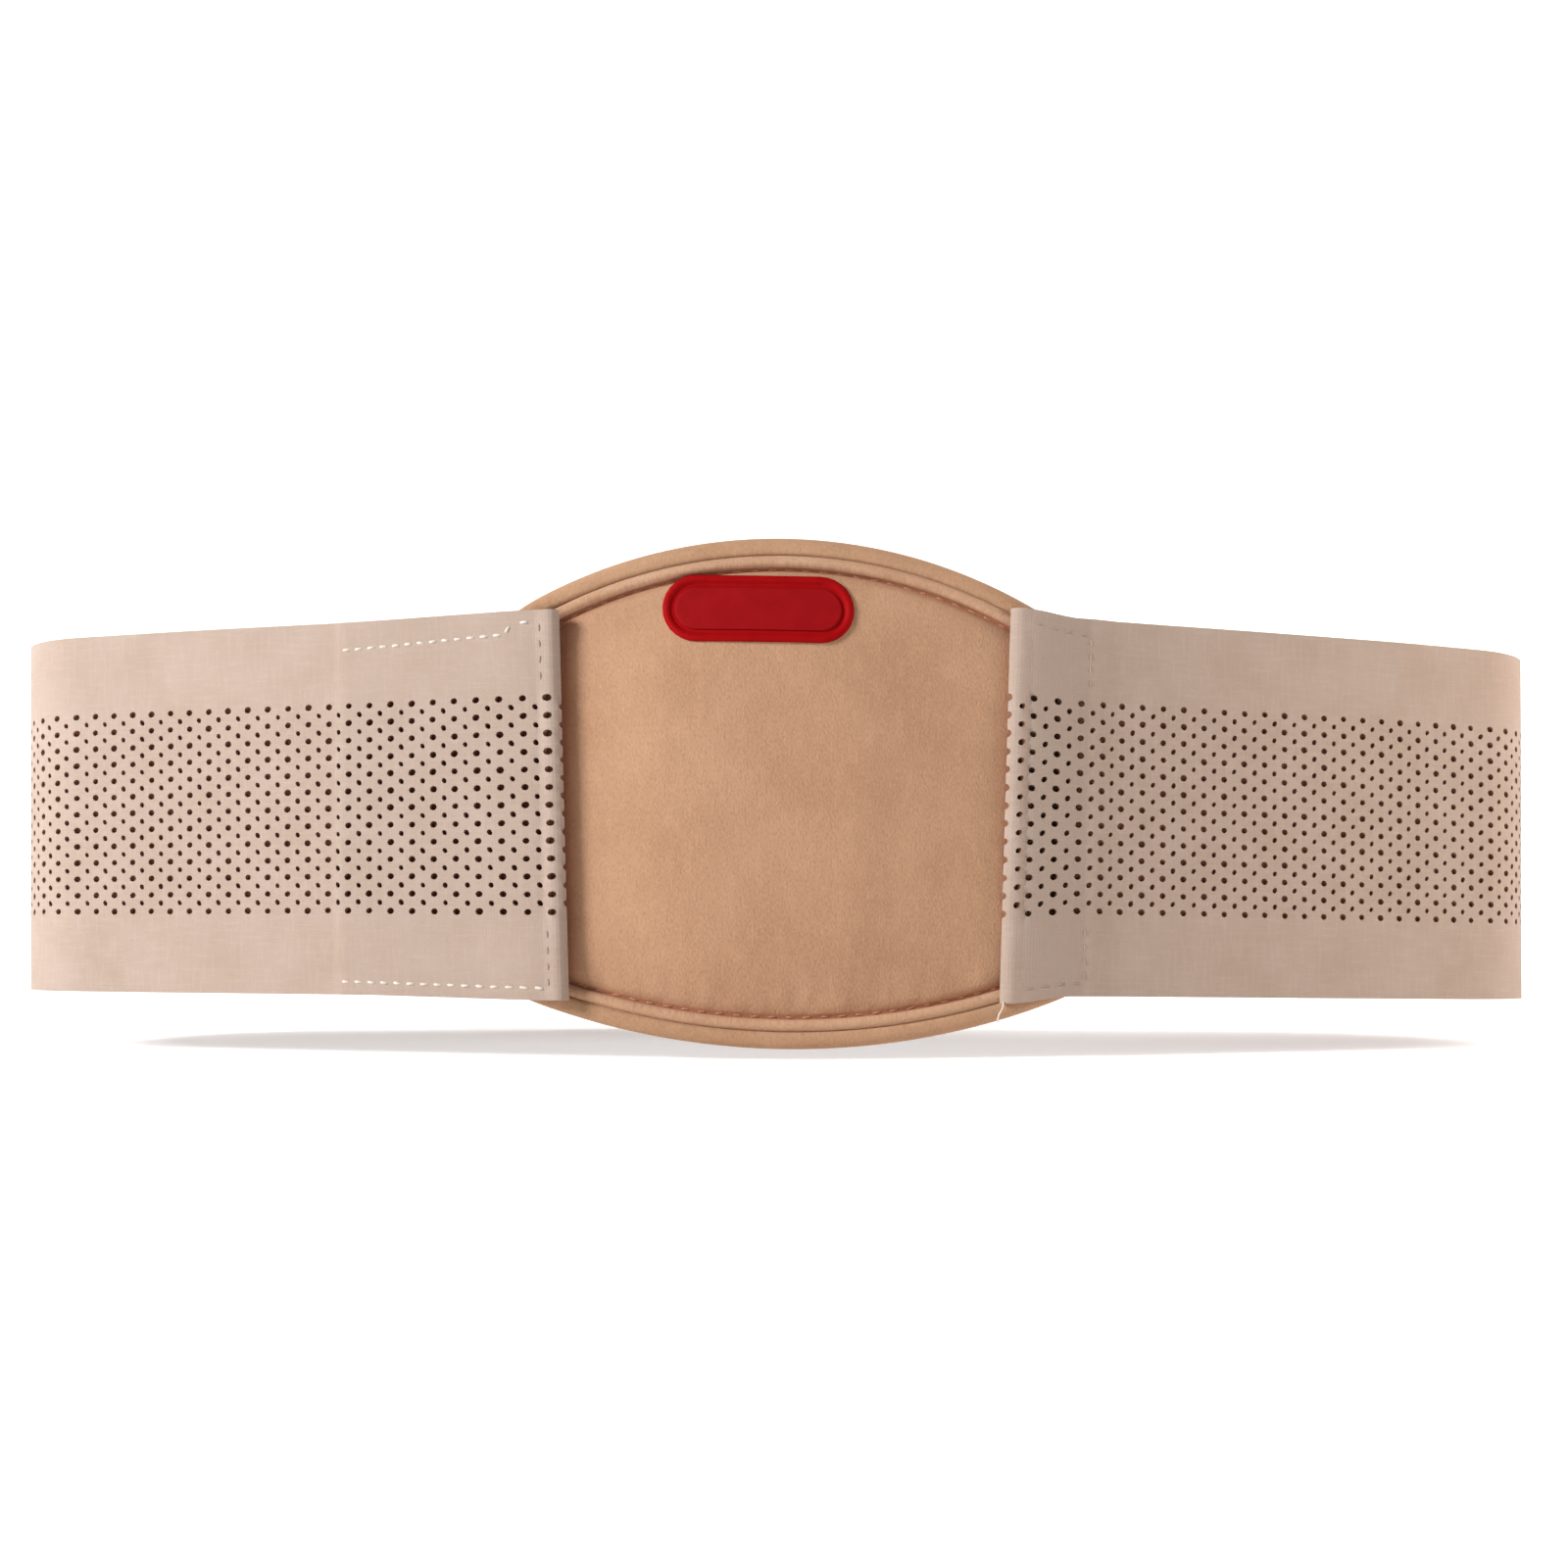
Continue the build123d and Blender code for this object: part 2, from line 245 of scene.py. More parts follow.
def band(a, b, n):
    """The faces between two closed rings of n points that start at points a and b."""
    return [[a + k, a + (k + 1) % n, b + (k + 1) % n, b + k] for k in range(n)]


def cloth_of(name, us, vs, lay, material, thickness, flip=False):
    """A cloth over a lattice of flat places.  lay(u, v) gives each one's point."""
    places = [(u, v) for u in us for v in vs]
    faces = grid_faces(len(us) - 1, len(vs) - 1, flip=flip)
    return make_piece(name, [lay(*p) for p in places], faces, material, places, thickness)


def two_layers(columns, rows, half):
    """The faces of two lattices and of the edge round them.  The second starts at point half."""
    pairs = zip(grid_faces(columns, rows), grid_faces(columns, rows, half, flip=True))
    faces, n = [face for pair in pairs for face in pair], rows + 1
    edge = [i * n for i in range(columns + 1)] + [columns * n + j for j in range(1, n)]
    edge += [i * n + rows for i in range(columns - 1, -1, -1)] + list(range(rows - 1, 0, -1))
    return faces + [[a, half + a, half + b, b] for a, b in zip(edge, edge[1:] + edge[:1])]


# %% [markdown]
# ## A small kit for materials
# Every finish here is a Principled shader with a few procedural nodes.  The helper class keeps the
# wiring short: each call adds one node and returns its output.

# %% Material helpers
def tone(colour, factor=1.0):
    """A colour as it looks on a screen, times a factor, in the shader's linear numbers."""
    linear = [((min(c * factor, 255) / 255 + 0.055) / 1.055) ** 2.4 for c in colour]
    return (*linear, 1)


class Finish:
    def __init__(self, name, roughness=0.9, sheen=0.0, specular=0.3):
        self.material = bpy.data.materials.new(name)
        self.material.use_nodes = True
        self.tree = self.material.node_tree
        self.shader = self.tree.nodes["Principled BSDF"]
        self.shader.inputs["Roughness"].default_value = roughness
        self.shader.inputs["Sheen Weight"].default_value = sheen
        self.shader.inputs["Sheen Roughness"].default_value = 0.5
        self.shader.inputs["Specular IOR Level"].default_value = specular

    def node(self, kind, **inputs):
        node = self.tree.nodes.new(kind)
        for key, value in inputs.items():
            by_number = key[0] == "i" and key[1:].isdigit()
            socket = node.inputs[int(key[1:]) if by_number else key]
            if hasattr(value, "links"):
                self.tree.links.new(value, socket)
            else:
                socket.default_value = value
        return node

    def painted(self, name, output="Fac"):
        """What the mesh's points carry under that name."""
        where = self.tree.nodes.new("ShaderNodeAttribute")
        where.attribute_name = name
        return where.outputs[output]

    def place(self, stretch=(1, 1, 1)):
        """The flat place on the cloth, stretched, as a vector."""
        mapping = self.node("ShaderNodeMapping", Vector=self.painted("flat_place", "Vector"))
        mapping.inputs["Scale"].default_value = stretch
        return mapping.outputs[0]

    def maths(self, operation, a, b=0.0):
        node = self.node("ShaderNodeMath", i0=a, i1=b)
        node.operation = operation
        return node.outputs[0]

    def noise(self, size_mm, stretch=(1, 1, 1), detail=3):
        node = self.node("ShaderNodeTexNoise", Vector=self.place(stretch))
        node.inputs["Scale"].default_value = 1 / (size_mm * MM)
        node.inputs["Detail"].default_value = detail
        return node.outputs["Fac"]

    def ribs(self, pitch_mm, along):
        """A sine across the cloth, along the run (0) or the height (1), from 0 to 1."""
        parts = self.node("ShaderNodeSeparateXYZ", Vector=self.place()).outputs
        wave = self.maths("SINE", self.maths("MULTIPLY", parts[along], 2 * math.pi / (pitch_mm * MM)))
        return self.range(wave, -1, 1)

    def mix(self, factor, a, b):
        node = self.tree.nodes.new("ShaderNodeMix")
        node.data_type = "RGBA"
        for socket, value in ((0, factor), (6, a), (7, b)):
            if hasattr(value, "links"):
                self.tree.links.new(value, node.inputs[socket])
            else:
                node.inputs[socket].default_value = value
        return node.outputs[2]

    def range(self, value, low, high, to_low=0.0, to_high=1.0):
        node = self.node("ShaderNodeMapRange", Value=value)
        ends = {"From Min": low, "From Max": high, "To Min": to_low, "To Max": to_high}
        for key, number in ends.items():
            node.inputs[key].default_value = number
        return node.outputs[0]

    def toward(self, colour, other, value, low, high, most):
        """The colour, moved toward another by up to a share while the value goes from low to high."""
        return self.mix(self.range(value, low, high, 0.0, most), colour, other)

    def finish(self, colour, height=None, depth_mm=0.2, strength=0.6):
        self.tree.links.new(colour, self.shader.inputs["Base Color"])
        if height is not None:
            bump = self.node("ShaderNodeBump", Height=height)
            bump.inputs["Strength"].default_value = strength
            bump.inputs["Distance"].default_value = depth_mm * MM
            self.tree.links.new(bump.outputs[0], self.shader.inputs["Normal"])
        return self.material


# %% [markdown]
# ## Elastic webbing
# The straps are warp-knitted elastic, soft and quite matt.  Fine ribs run along it and finer ones
# across, and the covered rubber shows as slightly pinker lines.  Two sines make the knit and a broad
# noise makes the uneven tone of cloth that has been handled.

# %% Webbing finish
def webbing_finish(name, light, dark):
    f = Finish(name, roughness=0.92, sheen=0.12, specular=0.15)
    knit = f.maths("MULTIPLY", f.ribs(0.75, 0), f.ribs(0.55, 1))
    blotch = f.noise(16, detail=4)
    fine = f.noise(0.5, detail=2)
    colour = f.mix(f.range(blotch, 0.32, 0.68), tone(dark), tone(light))
    colour = f.toward(colour, tone(dark, 0.84), fine, 0.35, 0.75, 0.22)
    for stretch in ((0.12, 1, 1), (1, 0.12, 1)):
        colour = f.toward(colour, tone(light, 1.07), f.noise(1.0, stretch, detail=1), 0.5, 0.75, 0.22)
    # painted shade: the webbing is darker where a cloth is sewn behind it, over the hook tape and over
    # the right hem's box
    colour = f.toward(colour, tone(dark, 0.9), f.painted("painted_backing_shade"), 0, 1, 0.6)
    height = f.maths("ADD", f.maths("MULTIPLY", knit, 0.6), f.maths("MULTIPLY", fine, 0.6))
    return f.finish(colour, height, depth_mm=0.12, strength=0.5)


WEBBING = webbing_finish("elastic_webbing", (181, 160, 147), (175, 153, 138))
# painted shade: this dark brown on the back, the hole walls and the lining makes the holes look shaded
WEBBING_BACK_AND_HOLE_SHADE = webbing_finish("webbing_back_and_hole_shade", (158, 112, 88), (136, 93, 71))
print("webbing finish ready")

# %% [markdown]
# ## Plush
# The front panel's face is a loop cloth brushed into a short nap.  Light catches the ends of the
# fibres at a glance, which is what sheen does, and strokes of the hand leave soft vertical marks.

# %% Plush finish
def plush_finish(name, light, dark, streak=0.25, sheen=0.26):
    f = Finish(name, roughness=0.95, sheen=sheen, specular=0.1)
    f.shader.inputs["Sheen Tint"].default_value = tone((240, 208, 182))
    broad = f.noise(24, detail=3)
    strokes = f.noise(2.6, stretch=(1, streak, 1), detail=5)
    fibres = f.noise(0.6, stretch=(1, 0.6, 1), detail=4)
    lighter = tone(light, 1.07)
    colour = f.mix(f.range(broad, 0.35, 0.65), tone(dark), tone(light))
    colour = f.toward(colour, lighter, strokes, 0.48, 0.7, 0.3)
    colour = f.toward(colour, tone(dark, 0.84), fibres, 0.5, 0.75, 0.4)
    colour = f.toward(colour, lighter, fibres, 0.48, 0.3, 0.35)
    # painted shade: the plush turns reddish brown in the seam's groove and in the painted shadow beside
    # the tab and the right hem
    colour = f.toward(colour, tone((150, 84, 58)), f.painted("fold"), 0, 1, 0.75)
    height = f.maths("ADD", f.maths("MULTIPLY", strokes, 0.7), fibres)
    return f.finish(colour, height, depth_mm=0.45, strength=0.45)


PLUSH = plush_finish("plush", (186, 145, 115), (177, 136, 106), streak=0.45)
PIPING = plush_finish("piping_cloth", (195, 156, 127), (183, 141, 111), streak=1)
BINDING = plush_finish("binding_tape", (186, 146, 115), (175, 135, 104), streak=1)
LINING = plush_finish("lining_cloth", (136, 98, 76), (114, 80, 60), streak=0.6, sheen=0.1)

# %% [markdown]
# ## Rubber, thread and the cloths of the back panel
# The badge is moulded rubber with a soft gloss.  Thread is a tight twist, so a fine slanting noise
# is enough at its size.  The back panel is a plain canvas weave.

# %% The other finishes
def rubber_finish(name, light, dark, roughness):
    f = Finish(name, roughness=roughness, specular=0.03)
    haze = f.noise(6, detail=4)
    grain = f.noise(0.35, detail=2)
    colour = f.mix(f.range(haze, 0.3, 0.7), tone(dark), tone(light))
    return f.finish(colour, grain, depth_mm=0.05, strength=0.25)


def thread_finish(name, light, dark):
    f = Finish(name, roughness=0.7, sheen=0.1)
    twist = f.noise(0.3, detail=1)
    return f.finish(f.mix(f.range(twist, 0.35, 0.65), tone(dark), tone(light)), twist, depth_mm=0.08)


def canvas_finish(name, light, dark, pitch=0.9):
    f = Finish(name, roughness=0.9, sheen=0.1, specular=0.2)
    weave = f.maths("MULTIPLY", f.ribs(pitch, 0), f.ribs(pitch, 1))
    blotch = f.noise(18, detail=4)
    colour = f.mix(f.range(blotch, 0.3, 0.7), tone(dark), tone(light))
    colour = f.toward(colour, tone(light, 1.1), weave, 0, 1, 0.25)
    return f.finish(colour, weave, depth_mm=0.18, strength=0.6)


RED_RIM = rubber_finish("red_rubber_rim", (158, 12, 16), (147, 9, 12), 0.55)
RED_FIELD = rubber_finish("red_rubber_field", (150, 18, 22), (139, 15, 19), 0.6)
PALE_THREAD = thread_finish("pale_thread", (232, 222, 212), (210, 196, 184))
SHADE_THREAD = thread_finish("webbing_thread", (176, 154, 140), (150, 128, 114))
TAN_THREAD = thread_finish("tan_thread", (200, 146, 112), (170, 114, 84))
CANVAS = canvas_finish("cover_canvas", (184, 141, 108), (172, 129, 97))
CASING = canvas_finish("casing_tape", (194, 158, 131), (182, 144, 116), pitch=0.7)
LABEL = canvas_finish("label_tape", (240, 236, 229), (228, 223, 214), pitch=0.4)
# the hook tape's dark brown is partly its own colour and partly painted shade for the holes over it
HOOKS = canvas_finish("hook_tape", (92, 52, 34), (72, 38, 24), pitch=1.4)

# %% [markdown]
# ## Perforated webbing
# The holes are real.  The cloth is first a flat lattice of small squares.  Every hole takes out four
# squares round one lattice point and puts back eight faces round an eight-sided ring, so the mesh
# stays whole and even.  Columns of larger and smaller holes alternate, half a row apart.  The lattice
# starts at the fold of the hem, and the path bends it back under itself there, which cuts through the
# first column and gives the hem its scalloped edge.

# %% Draw webbing flat and lay it on its path
ROW = 4.57  # height from one row of holes to the next
COLUMN = (TAB_HINGE - TAB_END) / 20.0  # run from one column of holes to the next
ROWS = 6  # rows of large holes above and below the middle one
LARGE, SMALL = (1.0, 0.88), (0.72, 0.78)  # half width and half height of the holes
BAND_STEPS = 8
FOLD_RADIUS = 0.8
HEM = 4.8  # width of the sewn hem
PUFF = 0.55  # height of the hem's roll and depth of its seam


def lattice_heights():
    step = ROW / 2
    edge = step * (2 * ROWS + 1)
    band = (STRAP_HALF - edge) / BAND_STEPS
    middle = [j * step for j in range(-2 * ROWS - 1, 2 * ROWS + 2)]
    outer = [edge + band * k for k in range(1, BAND_STEPS + 1)]
    return [-z for z in reversed(outer)] + middle + outer


def perforated(name, first, last, lay, large_on_even, backing_and_shade):
    """Webbing between two half columns (odd numbers) of the lattice.  lay(s, z) gives its middle.

    The last argument is the flat place up to which a cloth is sewn behind, and how much painted shade
    darkens the webbing up to there."""
    backed_to, painted_backing_shade = backing_and_shade
    heights = lattice_heights()
    points, flat, faces, index = [], [], [], {}

    def point(s, z):
        points.append(lay(s, z))
        flat.append((s, z))
        return len(points) - 1

    holes = {}
    for i in range(first + 1, last, 2):
        large = (i // 2 % 2 == 0) == large_on_even
        for j in range(-2 * ROWS, 2 * ROWS + 1) if large else range(-2 * ROWS + 1, 2 * ROWS):
            if (j % 2 == 0) == large:
                holes[(i, j + BAND_STEPS + 2 * ROWS + 1)] = large
    for i in range(first, last + 1):
        for j, z in enumerate(heights):
            if (i, j) not in holes:
                index[(i, j)] = point(i * COLUMN / 2, z)
    for i in range(first, last):
        for j in range(len(heights) - 1):
            corners = [(i, j), (i + 1, j), (i + 1, j + 1), (i, j + 1)]
            if not any(c in holes for c in corners):
                faces.append([index[c] for c in corners])
    around = [(1, 0), (1, 1), (0, 1), (-1, 1), (-1, 0), (-1, -1), (0, -1), (1, -1)]
    for (i, j), large in holes.items():
        wide, tall = LARGE if large else SMALL
        size = random.uniform(0.9, 1.08)
        slant = random.uniform(-0.12, 0.05) if large else random.uniform(0.1, 0.3)
        s0 = i * COLUMN / 2 + random.uniform(-0.07, 0.07)
        z0 = heights[j] + random.uniform(-0.07, 0.07)
        ring = []
        for k in range(8):
            a = k * math.pi / 4
            dz = tall * size * math.sin(a)
            ring.append(point(s0 + wide * size * math.cos(a) + slant * dz, z0 + dz))
        for k in range(8):
            here, there = around[k], around[(k + 1) % 8]
            faces.append([
                index[(i + here[0], j + here[1])], index[(i + there[0], j + there[1])],
                ring[(k + 1) % 8], ring[k],
            ])
    piece = make_piece(name, points, faces, WEBBING, flat, thickness=WEB)
    face_both_sides(piece, len(faces))
    places = [v.vector.x / MM for v in piece.data.attributes["flat_place"].data]
    paint(piece, "painted_backing_shade", [
        painted_backing_shade * ramp(s, HEM, HEM + 2) * (1 - ramp(s, backed_to, backed_to + 2)) for s in places
    ])
    print(name, "has", len(holes), "holes and", len(piece.data.polygons), "faces")
    return piece


def face_both_sides(piece, count):
    """Gives the skin side and the walls of the holes a darker brown, which is painted shade inside the
    holes.
    """
    mesh = piece.data
    mesh.materials.append(WEBBING_BACK_AND_HOLE_SHADE)
    flat = mesh.attributes["flat_place"].data
    middle = mesh.polygons[count // 2]
    first_is_outside = middle.normal.x * middle.center.x + middle.normal.y * middle.center.y > 0
    for face in mesh.polygons:
        if face.index < 2 * count:
            face.material_index = int((face.index < count) != first_is_outside)
        else:
            edge = min(abs(flat[v].vector.y) for v in face.vertices) > (STRAP_HALF - 0.5) * MM
            face.material_index = int(not edge)


def hem_path(s, stand):
    """How far in from the folded edge, and at what stand, the cloth at flat place s lies."""
    quarter = math.pi * FOLD_RADIUS / 2
    if s >= quarter:
        inward = FOLD_RADIUS + s - quarter
        roll, groove = math.sin(math.pi * min(inward / HEM, 1)), math.exp(-(((inward - HEM) / 0.7) ** 2))
        return inward, stand + PUFF * roll - PUFF * groove
    if s <= -quarter:
        return FOLD_RADIUS - s - quarter, stand - 2 * FOLD_RADIUS
    turn = s / FOLD_RADIUS
    return FOLD_RADIUS * (1 - math.cos(turn)), stand - FOLD_RADIUS * (1 - math.sin(turn))


# %% [markdown]
# ## The left strap and its tab
# The left strap and the hooked tab are one length of webbing on the real belt.  Here they are two
# meshes that share the same lattice, because the tab peels off about a line at the end of its hook
# tape.  The free edge of the tab stands a little off the plush and leans with the pull of the strap.

# %% Left strap and tab
TAB_LIFT, TAB_LIFT_LENGTH = 1.8, 26.0
PATCH_STEP = 0.5  # the webbing stands this much higher where the hook tape is sewn behind it
LEFT_LEAN, RIGHT_LEAN = 1.3, -1.5  # how far the hems lean, in mm of run at the webbing's edge
LEFT_DRIFT, RIGHT_DRIFT = 1.2, 1.3  # how much higher the straps sit at the front than at the back
DRIFT_FROM, DRIFT_TO = 190, 320  # over this way in from the hem the straps come level
WING_BARE = 8.3  # bare wing between the lumbar panel's edge and the strap
STRAP_LAST = run_for(LUMBAR_SIDE, 0, back=True) - WING_BARE


def last_column(from_run):
    """The odd half column nearest to where the strap meets the wing."""
    return 2 * round((STRAP_LAST - from_run - 1) / COLUMN) + 1


LEFT_LAST, RIGHT_LAST = last_column(TAB_END), last_column(HEM_END)
print("last half columns", LEFT_LAST, RIGHT_LAST)


def ripple(run, z):
    """The slight unevenness of webbing under tension."""
    return 0.18 * math.sin(run / 23 + z / 31) + 0.12 * math.sin(run / 9.5 - z / 17)


def lay_left(s, z, rise=0.0):
    inward, stand = hem_path(s, WEB_MIDDLE + rise)
    stand += TAB_LIFT * (1 - ramp(inward, 0, TAB_LIFT_LENGTH)) + ripple(s, z) * ramp(inward, 0, 20)
    stand += PATCH_STEP * (1 - ramp(inward, 60.5, 63)) - PATCH_STEP / 2
    lean = LEFT_LEAN * z / STRAP_HALF * (1 - ramp(inward, 0, 50))
    flare = 1 + 0.02 * (1 - ramp(inward, 0, 60))
    drift = LEFT_DRIFT * (1 - ramp(inward, DRIFT_FROM, DRIFT_TO))
    return place(-(TAB_END + inward + lean), stand, z * flare + drift)


SPLIT = 41  # the half column on the tab's hinge line
# how far in a cloth is sewn behind the webbing, and how much painted shade darkens it there
HOOK_BACKING_SHADE, HEM_BACKING_SHADE = (61.0, 0.25), (20.0, 1.0)
left_tab = perforated("left_tab_webbing", -3, SPLIT, lay_left, False, HOOK_BACKING_SHADE)
left_strap = perforated("left_strap_webbing", SPLIT, LEFT_LAST, lay_left, False, HOOK_BACKING_SHADE)

# %% [markdown]
# ## The right strap
# This one is sewn down on the front panel, so it lies tight, and it steps down where the panel ends
# under it.  The same lattice serves, with the columns the other way round at the fold.

# %% Right strap
RIGHT_STEP = 1.4


def lay_right(s, z, rise=0.0):
    inward, stand = hem_path(s, WEB_MIDDLE - 0.3 + rise)
    run = HEM_END + inward
    stand += ripple(s + 40, z) * ramp(inward, 20, 50)
    stand -= RIGHT_STEP * ramp(run, 78, 88) * (1 - ramp(run, 100, 190))
    lean = RIGHT_LEAN * z / STRAP_HALF * (1 - ramp(inward, 0, 60))
    flare = 1 + 0.04 * (1 - ramp(inward, 2, 18))
    drift = RIGHT_DRIFT * (1 - inward / 75) * (1 - ramp(inward, DRIFT_FROM, DRIFT_TO))
    return place(run - lean, stand, z * flare + drift)


right_strap = perforated("right_strap_webbing", -3, RIGHT_LAST, lay_right, True, HEM_BACKING_SHADE)

# %% [markdown]
# ## The straps' lining
# Behind the perforated band lies a thin brown mesh cloth.  It keeps the holes from printing on the
# skin.  Its dark brown is painted shade, and it is why the holes look dark.  It starts where the hook
# tape or the front panel ends, and it stops at the wings.

# %% Strap lining
LINER_HALF, LINER_THICK = STRAP_HALF - 2.5, 0.25
LINER_DEPTH = WEB / 2 + 0.2
EDGE_RUN = run_for(LUMBAR_SIDE, 6.0, back=True)  # run of the lumbar panel's edge
WING_IN, WING_OUT = 2.5, 32.0  # how far a wing reaches under the panel and under the strap
LINER_LAST = EDGE_RUN - WING_OUT + 0.6
LEFT_LINER_FROM, RIGHT_LINER_FROM = TAB_END + SPLIT * COLUMN / 2 + 0.1, FRONT_RIGHT - 1.0


def liner(name, first, last, lay):
    columns, rows = round((last - first) / 3), 26
    places = [first + (last - first) * i / columns for i in range(columns + 1)]
    heights = [LINER_HALF * (2 * j / rows - 1) for j in range(rows + 1)]
    print(name, round(last - first), "mm long")
    return cloth_of(
        name, places, heights, lambda s, z: lay(s, z, -LINER_DEPTH), WEBBING_BACK_AND_HOLE_SHADE, LINER_THICK
    )


left_liner = liner("left_strap_lining", LEFT_LINER_FROM - TAB_END, LINER_LAST - TAB_END, lay_left)
right_liner = liner("right_strap_lining", RIGHT_LINER_FROM - HEM_END, LINER_LAST - HEM_END, lay_right)

# %% [markdown]
# ## Padded panels
# Both panels are a foam core between two cloths, bound round the edge.  The outline is drawn flat,
# resampled evenly and softened a little, so its corners are as round as folded tape leaves them.
# The pad itself is a closed grid whose face sinks at the seam and swells inside it.

# %% Outlines of the two panels
FRONT_ARCS = (140.0, 200.0)  # radii of the upper and the lower crown
SHOULDER_X, SLOPE, TONGUE_HALF = -72.0, 12.0, 38.0
OUTLINE_STEP = 1.6


def crown(x, height, radius):
    return height - radius + math.sqrt(radius * radius - x * x)


def evenly(points, step):
    """The closed outline again, with points one step apart."""
    closed = points + points[:1]
    lengths = [math.dist(a, b) for a, b in zip(closed, closed[1:])]
    count = round(sum(lengths) / step)
    result, part, walked = [], 0, 0.0
    for k in range(count):
        target = sum(lengths) * k / count
        while walked + lengths[part] < target:
            walked += lengths[part]
            part += 1
        t = (target - walked) / lengths[part]
        a, b = closed[part], closed[part + 1]
        result.append((a[0] + (b[0] - a[0]) * t, a[1] + (b[1] - a[1]) * t))
    return result


def soften(points, passes):
    for _ in range(passes):
        points = [
            tuple((points[i - 1][k] + 2 * p[k] + points[(i + 1) % len(points)][k]) / 4 for k in (0, 1))
            for i, p in enumerate(points)
        ]
    return points


def front_limits(x):
    """The front panel's lowest and highest point at x."""
    if x >= SHOULDER_X:
        return -crown(x, FRONT_BOTTOM, FRONT_ARCS[1]), crown(x, FRONT_TOP, FRONT_ARCS[0])
    low, high = front_limits(SHOULDER_X)
    t = min((SHOULDER_X - x) / SLOPE, 1)
    return low + (-TONGUE_HALF - low) * t, high + (TONGUE_HALF - high) * t


LUMBAR_ARC = (LUMBAR_SIDE**2 + (LUMBAR_TOP - STRAP_HALF) ** 2) / (2 * (LUMBAR_TOP - STRAP_HALF))


def lumbar_limits(x):
    high = crown(x, LUMBAR_TOP, LUMBAR_ARC)
    return -high, high


def outline_of(limits, left, right):
    xs = [left + (right - left) * k / 120 for k in range(121)]
    over = [(x, limits(x)[1]) for x in reversed(xs)]
    under = [(x, limits(x)[0]) for x in xs]
    return soften(evenly(over + under, OUTLINE_STEP), 10)


front_line = outline_of(front_limits, FRONT_LEFT, FRONT_RIGHT)
lumbar_line = outline_of(lumbar_limits, -LUMBAR_SIDE, LUMBAR_SIDE)
print("outline points:", len(front_line), "front,", len(lumbar_line), "lumbar")

# %% [markdown]
# An outline is swept by moving it inward by each profile point's depth and joining the rings.

# %% Sweep a profile round an outline
def inset(line, depth):
    """The outline moved inward by a depth."""
    result = []
    for i, p in enumerate(line):
        a, b = line[i - 2], line[(i + 2) % len(line)]
        tx, tz = b[0] - a[0], b[1] - a[1]
        length = math.hypot(tx, tz)
        result.append((p[0] - tz / length * depth, p[1] + tx / length * depth))
    return result


def sweep(name, line, profile, lay, material):
    """A closed tube: each profile point is (depth inward, stand)."""
    points, flat, faces = [], [], []
    rings = [inset(line, depth) for depth, _ in profile]
    n, m = len(line), len(profile)
    for i in range(n):
        for k, (depth, stand) in enumerate(profile):
            x, z = rings[k][i]
            points.append(lay(x, stand, z))
            flat.append((i * OUTLINE_STEP, depth + stand))
    for i in range(n):
        faces += band(i * m, (i + 1) % n * m, m)
    piece = make_piece(name, points, faces, material, flat, sharp=80)
    outward(piece)
    print(name, len(faces), "faces")
    return piece


# %% [markdown]
# The pad's swelling is a short cloth simulation: its rim and its back are pinned, the face takes a
# light pressure, and a cap keeps it from ballooning.  It gives the slack, slightly uneven fullness of
# foam under cloth that a formula does not.

# %% Pads
def distance_in(x, z, line):
    return min(math.hypot(x - a, z - b) for a, b in line)


def swelling(rise, x, z, depth, seam):
    """How far the pad's face stands out at a point that lies this deep inside its outline."""
    return rise(x, z) * ramp(depth, seam, seam + 24)


def pad(
    name, limits, left, right, line, lay, face_stand, rise, seam, seam_depth, materials, columns, painted_shade_at
):
    """A closed pad.  Its face sinks along a seam that lies that far in, and rises inside it."""
    near = [0.9, 3.0, 5.2] + [seam + away for away in (-1.2, -0.5, 0, 0.5, 1.2, 3, 6, 10)]
    inner = 26
    points, flat, pinned, shade_paint = [], [], [], []
    left, right = left + near[0], right - near[0]
    for side in ("face", "back"):
        for i in range(columns + 1):
            x = left + (right - left) * i / columns
            low, high = limits(x)
            reach = (high - low) / 2
            shrink = min(1, (reach - 2) / near[-1])
            ups = [low + d * shrink for d in near]
            downs = [high - d * shrink for d in reversed(near)]
            between = [ups[-1] + (downs[0] - ups[-1]) * k / inner for k in range(1, inner)]
            for z in ups + between + downs:
                depth = distance_in(x, z, line)
                sunk = math.exp(-(((depth - seam) / 0.9) ** 2)) if side == "face" else 0.0
                # the fold attribute carries painted shade: the seam's groove and the strips beside the
                # straps
                shade_paint.append(max(sunk, painted_shade_at(x)) if side == "face" else 0.0)
                if side == "face":
                    stand = face_stand - seam_depth * sunk
                    stand += swelling(rise, x, z, depth, seam)
                else:
                    stand = 0.1
                pinned.append(side == "back" or depth < seam + 1)
                points.append(lay(x, stand, z))
                flat.append((x, z))
    rows = 2 * len(near) + inner - 2
    half = (columns + 1) * (rows + 1)
    faces = two_layers(columns, rows, half)
    piece = make_piece(name, points, faces, materials[0], flat, sharp=70)
    piece.data.materials.append(materials[1])
    paint(piece, "fold", shade_paint)
    for face in piece.data.polygons:
        if all(v >= half for v in face.vertices):
            face.material_index = 1
    outward(piece)
    swell(piece, pinned)
    print(name, len(piece.data.polygons), "faces")
    return piece


SWELL_CAP = 0.9  # mm that a point may move while the cloth settles


